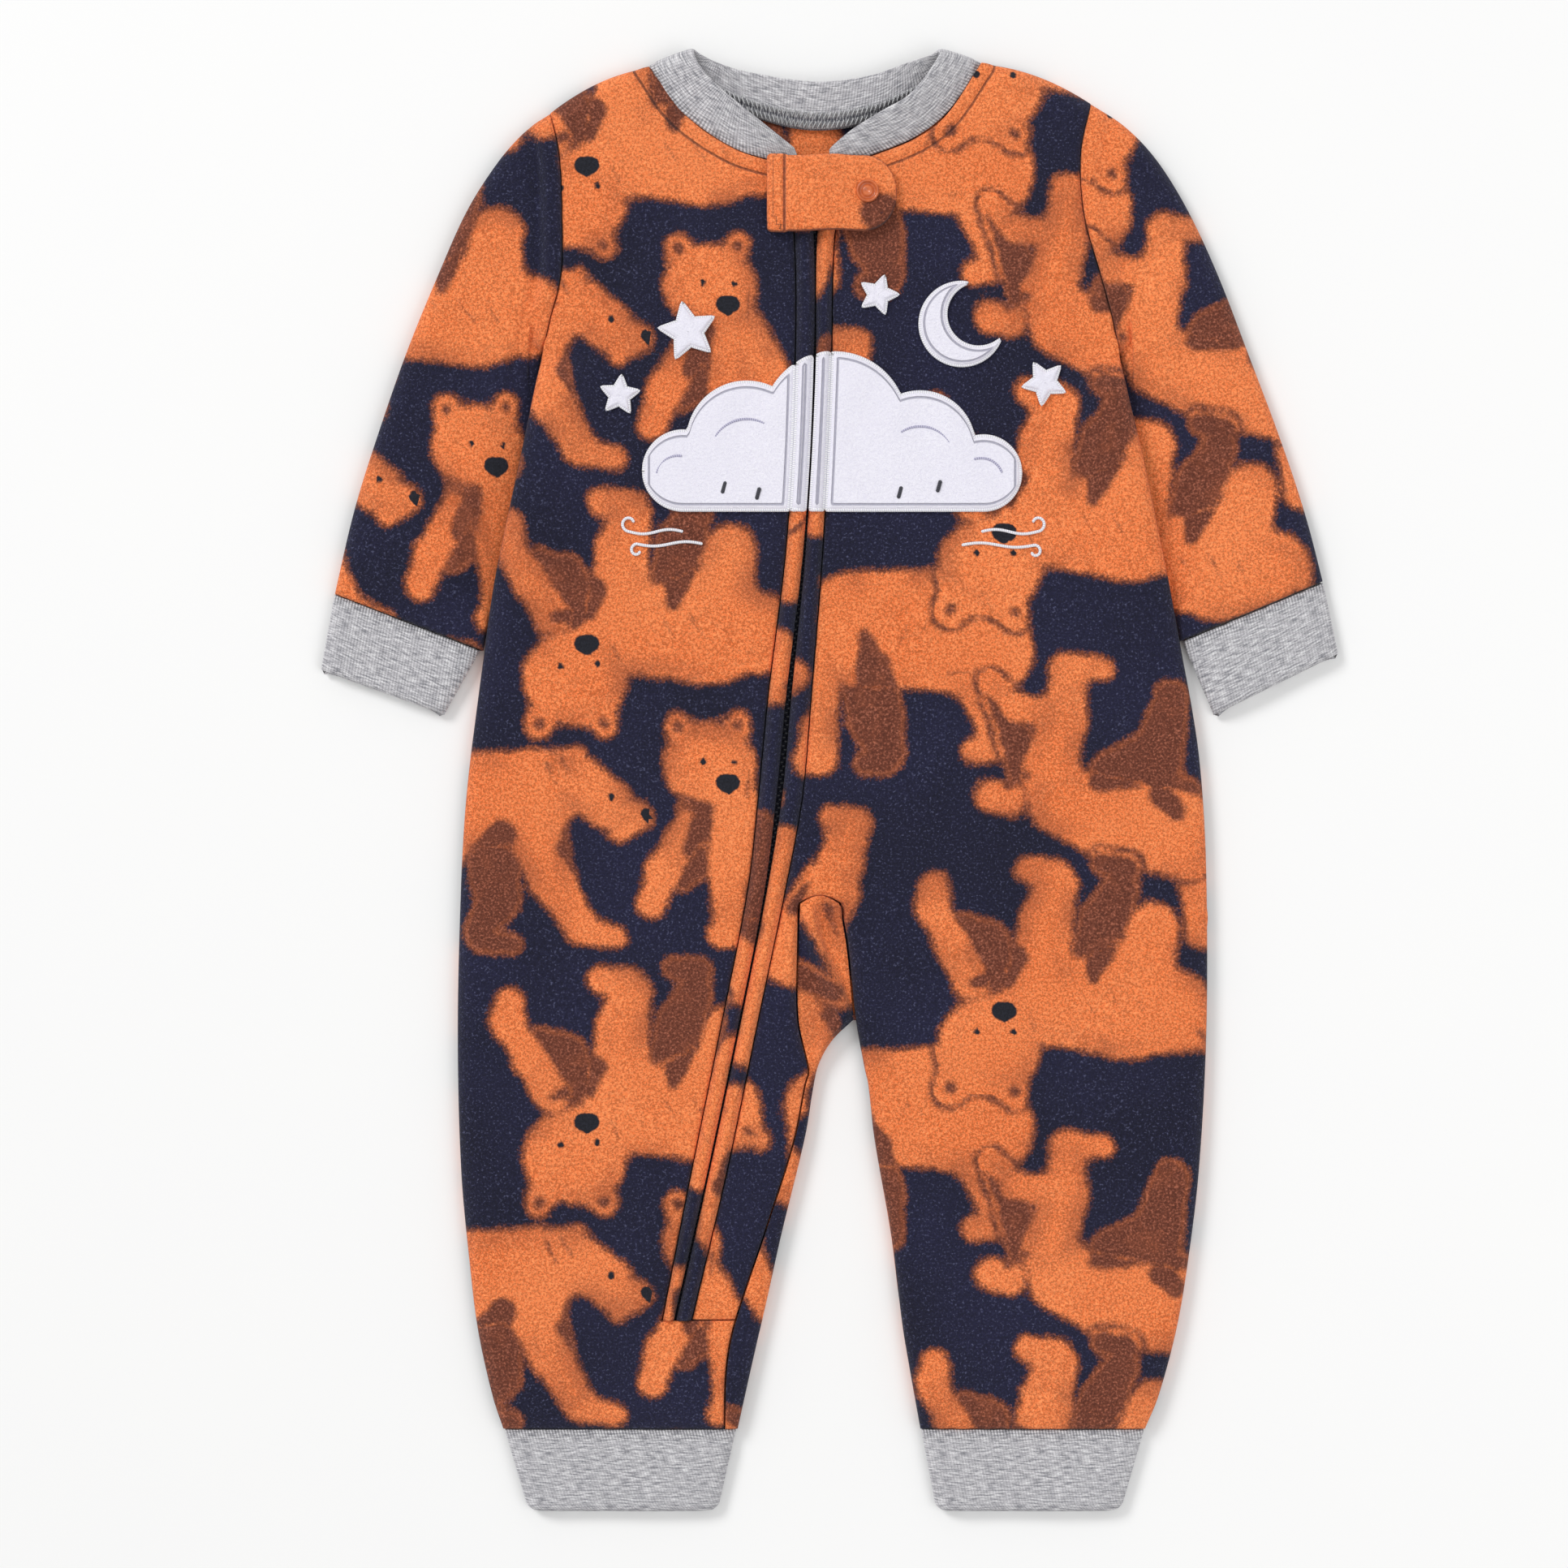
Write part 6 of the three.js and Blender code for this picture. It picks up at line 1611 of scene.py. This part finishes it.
def cloudTop(x):
    # the highest of the puffs' circles at each x
    best = np.full(np.shape(x), cloudBase["bottom"] + 0.02)
    for px, py, r in cloudPuffs:
        best = np.maximum(best, np.where(np.abs(x - px) < r,
                                         py + np.sqrt(np.maximum(r * r - (x - px) ** 2, 0)), 0))
    return best


def cloudBottom(x):
    # straight base, rounded up at the two end puffs
    low = np.full(np.shape(x), float(cloudBase["bottom"]))
    for (px, py, r), way in ((cloudPuffs[0], -1), (cloudPuffs[-1], 1)):
        out = (x - px) * way
        low = np.where(out > 0, py - np.sqrt(np.maximum(r * r - out * out, 0)), low)
    return low


def outlineShare(inside):
    # quarter circle over the felt's rounded rim
    return rounded(inside, 2.2)


def feltHeight(x, y, inside, surface):
    # the cloth under it, plus the felt's thickness and puff by the distance in from its outline
    return surface(x, y) + felt["seat"] + lerp(0.25, felt["thick"] + felt["puff"], outlineShare(inside))


def borderLine(line, surface):
    # the outline in plan, lifted to most of the felt's thickness above the cloth
    return np.column_stack([line, surface(line[:, 0], line[:, 1]) + felt["thick"] * 0.75])


def feltGrid(name, x, y, surface, inside, node):
    # the felt follows the cloth under it, thin at its stitched rim and a little puffed inside
    drape = 0.2 * np.sin(x / 3.9 + 1.6 * np.sin(y / 10)) * rounded(inside - 1, 7)
    z = feltHeight(x, y, inside, surface) + drape
    # the stitch field sinks a line inside the rim, darkened with painted shade
    return clothPiece(name, np.dstack([x, y, z]), felt["thick"] * 0.8,
                      [node], feltCloth, stitch=inside - felt["line"])


def weltSurface(side):
    # the welt's height as a function of place, for what is sewn on it
    def surface(x, y):
        # share of the welt's width at this place, then the roll's height there
        way = ways[side]
        near = zipColumn["x"](y) + way * zipColumn["gap"](y) / 2
        q = np.clip((x - near) * way / zipColumn[side](y), 0, 1)
        return weltHeight(x, y, q if way > 0 else 1 - q) + 0.25
    return surface


def onWelt(side, share):
    # x at a share of the welt's width, outwards from the gap
    way = ways[side]
    return lambda y: zipColumn["x"](y) + way * zipColumn["gap"](y) / 2 + way * zipColumn[side](y) * share


def makeCloud():
    # four parts between slanted lines that follow the zip: x runs between two lines, y between base and puffs
    ends = (cloudPuffs[0][0] - cloudPuffs[0][2], cloudPuffs[-1][0] + cloudPuffs[-1][2])
    lines = [
        ("cloudLeft", "cloud_left", lambda y: 0 * y + ends[0], lambda y: grooveX("left", y) - 0.35,
         frontHeight, 62),
        ("cloudOnWeltLeft", "cloud_on_welt_left", onWelt("left", 0.86),
         onWelt("left", 0.13), weltSurface("left"), 16),
        ("cloudOnWeltRight", "cloud_on_welt_right", onWelt("right", 0.13),
         onWelt("right", 0.86), weltSurface("right"), 16),
        ("cloudRight", "cloud_right", lambda y: grooveX("right", y) + 0.35,
         lambda y: 0 * y + ends[1], frontHeight, 76),
    ]
    outline = []
    for name, node, start, stop, surface, columns in lines:
        v = 0.5 - 0.5 * np.cos(np.linspace(0, np.pi, 46))
        u = spread(100, columns, True, True)[0] / 100
        nominal = lerp(start(cloudBase["middle"]), stop(cloudBase["middle"]), u)
        low, high = cloudBottom(nominal), cloudTop(nominal)
        y = lerp(low[None], high[None], v[::-1, None])
        x = lerp(start(y), stop(y), u[None])
        # refit the top and bottom to the shifted x
        low, high = cloudBottom(x), cloudTop(x)
        y = lerp(low, np.maximum(high, low + 0.05), v[::-1, None])
        inside = np.minimum(np.minimum(y - low, high - y),
                            np.minimum(np.abs(x - start(y)), np.abs(stop(y) - x)))
        inside = np.maximum(inside, 0)
        feltGrid(name, x, y, surface, inside, node)
        ring = [np.concatenate([p[0], p[:, -1], p[-1, ::-1], p[::-1, 0]]) for p in (x, y)]
        line = evenAlong(np.stack(ring, 1), int(2.0 * (columns + 46)) + 80)[:-1]
        outline.append(borderLine(line, surface))
    return outline


tubePiece("cloudStitching", makeCloud(), felt["border"],
          whiteThread, sides=10, flat=0.75, closed=True)


def makeMoon():
    # crescent between two arcs: v runs from the outer arc to the bite's arc, u from horn to horn
    d = np.hypot(moon["biteX"] - moon["x"], moon["biteY"] - moon["y"])
    toward = np.arctan2(moon["biteY"] - moon["y"], moon["biteX"] - moon["x"])
    along = (d * d + moon["r"] ** 2 - moon["biteR"] ** 2) / (2 * d)
    openOuter = np.arccos(along / moon["r"])
    openInner = np.arccos((along - d) / moon["biteR"])
    u = 0.5 - 0.5 * np.cos(np.linspace(0, np.pi, 60))
    outerAngle = toward + lerp(openOuter, 2 * np.pi - openOuter, u)
    innerAngle = toward + lerp(openInner, 2 * np.pi - openInner, u)
    outer = np.stack([moon["x"] + moon["r"] * np.cos(outerAngle),
                      moon["y"] + moon["r"] * np.sin(outerAngle)], 1)
    inner = np.stack([moon["biteX"] + moon["biteR"] * np.cos(innerAngle),
                      moon["biteY"] + moon["biteR"] * np.sin(innerAngle)], 1)
    v = 0.5 - 0.5 * np.cos(np.linspace(0, np.pi, 16))
    plan = lerp(outer[:, None], inner[:, None], v[None, :, None])
    plan = plan[2:-2]
    x, y = plan[..., 0], plan[..., 1]
    width = np.linalg.norm(outer - inner, axis=1)[2:-2, None]
    inside = np.minimum(v[None] * width, (1 - v[None]) * width)
    points = np.dstack([x, y, feltHeight(x, y, inside, frontHeight)])
    # the stitch field sinks a line inside the rim, darkened with painted shade
    clothPiece("moonFelt", points, felt["thick"] * 0.8, ["moon"], feltCloth, stitch=inside - 1.7)
    ring = np.vstack([outer[2:-2], inner[2:-2][::-1]])
    line = evenAlong(np.vstack([ring, ring[:1]]), 150)[:-1]
    return borderLine(line, frontHeight)


def makeStar(node, cx, cy, r, turn):
    # rings from the middle out to a five-pointed outline whose radius swings between tip and waist
    k = np.arange(11)
    tipsAt = turn + np.pi / 2 + k * np.pi / 5
    reach = np.where(k % 2, r * 0.5, r)
    corner = np.stack([reach * np.cos(tipsAt), reach * np.sin(tipsAt)], 1)
    outline = evenAlong(corner, 81)[:-1]
    size = np.r_[0.02, np.linspace(0.14, 1, 12)]
    plan = np.array([cx, cy]) + size[:, None, None] * outline[None]
    x, y = plan[..., 0], plan[..., 1]
    inside = (1 - size[:, None]) * np.linalg.norm(outline, axis=1)[None] * 0.8
    points = np.dstack([x, y, feltHeight(x, y, inside, frontHeight)])
    quads = np.vstack([gridQuads(len(size), 80, True), capQuads(0, 80, 1)])
    solid, faces = shellFrom(points.reshape(-1, 3), quads, np.full(points.size // 3, felt["thick"] * 0.8))
    finishPiece(meshObject("felt" + node.title().replace("_", ""), solid, faces), [node], feltCloth)
    line = np.array([cx, cy]) + outline
    return borderLine(line, frontHeight)


shapeOutlines = [makeMoon()] + [makeStar(*star) for star in stars]
tubePiece("shapeStitching", shapeOutlines, felt["border"] * 0.8,
          whiteThread, sides=10, flat=0.75, closed=True)


def stitchedLines():
    # breeze lines beside the cloud, sewn on the fleece: a gentle wave that ends in a shrinking curl
    lines = []
    for side, x0, y0, length, r in ((-1, -60, 102, 22, 3.4), (-1, -52, 97, 27, 2.6),
                                    (1, 62, 102, 23, 3.4), (1, 54, 96.5, 30, 2.6)):
        t = np.linspace(0, 1, 40)
        wave = np.column_stack([x0 + side * length * t, y0 + 0.9 * np.sin(t * 6.3)])
        turn = np.linspace(-np.pi / 2, np.pi * 0.95, 40)[1:]
        way = 1 if length < 25 else -1
        radius = r * (1 - 0.35 * (turn + np.pi / 2) / np.pi)
        curl = np.column_stack([wave[-1, 0] + side * radius * np.cos(turn),
                                wave[-1, 1] + way * (r + radius * np.sin(turn))])
        line = evenAlong(np.vstack([wave, curl]), 90)
        lines.append(np.column_stack([line, frontHeight(line[:, 0], line[:, 1]) + 0.45]))
    return lines


def onFelt(x, y, lift):
    # a line on the puffed felt, its middle the lift above the felt's top
    return np.column_stack([x, y, frontHeight(x, y) + felt["seat"] + felt["thick"] + felt["puff"] + lift])


def innerLines():
    # quilting arcs on the cloud, set in from the puffs' edges
    t = np.linspace(0, 1, 50)
    lines = []
    for cx, cy, r, start, stop in ((-34, 133, 15, 150, 60), (37, 131, 14, 125, 30),
                                   (-62, 124, 9, 170, 80), (62, 123, 9, 110, 20)):
        a = np.radians(lerp(start, stop, t))
        x, y = cx + r * np.cos(a), cy + r * np.sin(a)
        lines.append(onFelt(x, y, -0.1))
    return lines


tubePiece("breezeStitching", stitchedLines(), 0.62, whiteThread, sides=8, flat=0.7)
tubePiece("cloudQuilting", innerLines(), 0.5, shadeThread, sides=8, flat=0.7)


def darkLines():
    # small charcoal drops under the cloud, each a short tapered stitch
    t = np.linspace(0, 1, 12)
    lines = []
    for x0, y0, size in ((-44, 120, 5), (-30, 117.5, 5), (28, 118, 5), (44, 120.5, 5)):
        x, y = x0 + 1.4 * t, y0 + size * (t - 0.5)
        lines.append(onFelt(x, y, 0.05))
    return lines


tubePiece("cloudDrops", darkLines(), 0.8, darkThread, sides=8, flat=0.6)
print("felt shapes made")


# What each sheet was cut to: the box of its flat cut and the cut's own area, in metres and square metres

cuts = {
    "frontLeft": ((0.150, 0.575), 0.0575), "frontRight": ((0.225, 0.575), 0.0755),
    "backPanel": ((0.320, 0.575), 0.1430),
    "crotchGusset": ((0.036, 0.225), 0.0029), "sleeveLeft": ((0.200, 0.235), 0.0240),
    "sleeveRight": ((0.200, 0.235), 0.0235),
    "wristCuffLeft": ((0.130, 0.036), 0.0040), "wristCuffRight": ((0.130, 0.036), 0.0040),
    "ankleCuffLeft": ((0.195, 0.038), 0.0065), "ankleCuffRight": ((0.190, 0.038), 0.0062),
    "zipWeltLeft": ((0.012, 0.485), 0.0045), "zipWeltRight": ((0.012, 0.485), 0.0045),
    "zipTape": ((0.024, 0.480), 0.0108),
    "neckCollar": ((0.300, 0.021), 0.0045), "snapTab": ((0.0535, 0.0325), 0.00155),
    "cloudLeft": ((0.064, 0.060), 0.0025), "cloudRight": ((0.081, 0.066), 0.0034),
    "cloudOnWeltLeft": ((0.010, 0.064), 0.00046), "cloudOnWeltRight": ((0.010, 0.066), 0.00045),
    "moonFelt": ((0.034, 0.035), 0.00045), "feltStarLeft": ((0.023, 0.023), 0.00022),
    "feltStarTop": ((0.0155, 0.0155), 0.000105),
    "feltStarRight": ((0.0175, 0.0175), 0.000128), "feltStarLow": ((0.0155, 0.0155), 0.000105),
}


def declareSheets():
    # each sheet's made area, half of its faces' sum, is printed beside the area of its cut
    for name, (flat, area) in cuts.items():
        made = bpy.data.objects[name]
        half = sum(face.area for face in made.data.polygons) / 2
        print(f"  {name}: {half:.5f} m2 made, {area:.5f} m2 cut, share of box {area / flat[0] / flat[1]:.2f}")


declareSheets()


# Surface, lights and world

studio = dict(floor=colour(246, 246, 245), floorShade=colour(245, 245, 245),
              halfWidth=3000.0, drop=0.25, world=0.622,
              lights=[("key", (-2.9, 2.75, 3.1), 1.8, 118.0), ("fill", (1.1, -0.4, 1.7), 1.6, 9.0)])


def makeStudio():
    # a wide plain surface just under the cloth, and round lights that look at the middle of it
    corners = np.array([(-1, -1), (1, -1), (1, 1), (-1, 1)]) * studio["halfWidth"]
    floor = meshObject("floor", np.insert(corners, 2, -studio["drop"], axis=1), np.array([[0, 1, 2, 3]]))
    material, tree, shader = newMaterial("pale surface")
    place = tree.nodes.new("ShaderNodeTexCoord")
    tone = noise(tree, place.outputs["Object"], 14, 2.0)
    wire(tree, mixColour(tree, tone, studio["floor"], studio["floorShade"]), shader.inputs["Base Color"])
    shader.inputs["Roughness"].default_value = 0.9
    floor.data.materials.append(material)
    for name, place, width, power in studio["lights"]:
        data = bpy.data.lights.new(name, "AREA")
        data.shape, data.size, data.energy = "DISK", width, power
        light = bpy.data.objects.new(name, data)
        scene.collection.objects.link(light)
        light.location = place
        light.rotation_euler = (-Vector(place)).to_track_quat("-Z", "Y").to_euler()
    world = bpy.data.worlds.new("studio")
    world.use_nodes = True
    background = world.node_tree.nodes["Background"]
    background.inputs[0].default_value = (1, 1, 1, 1)
    background.inputs[1].default_value = studio["world"]
    scene.world = world
    scene.view_settings.view_transform = "Standard"


makeStudio()
print("studio made")
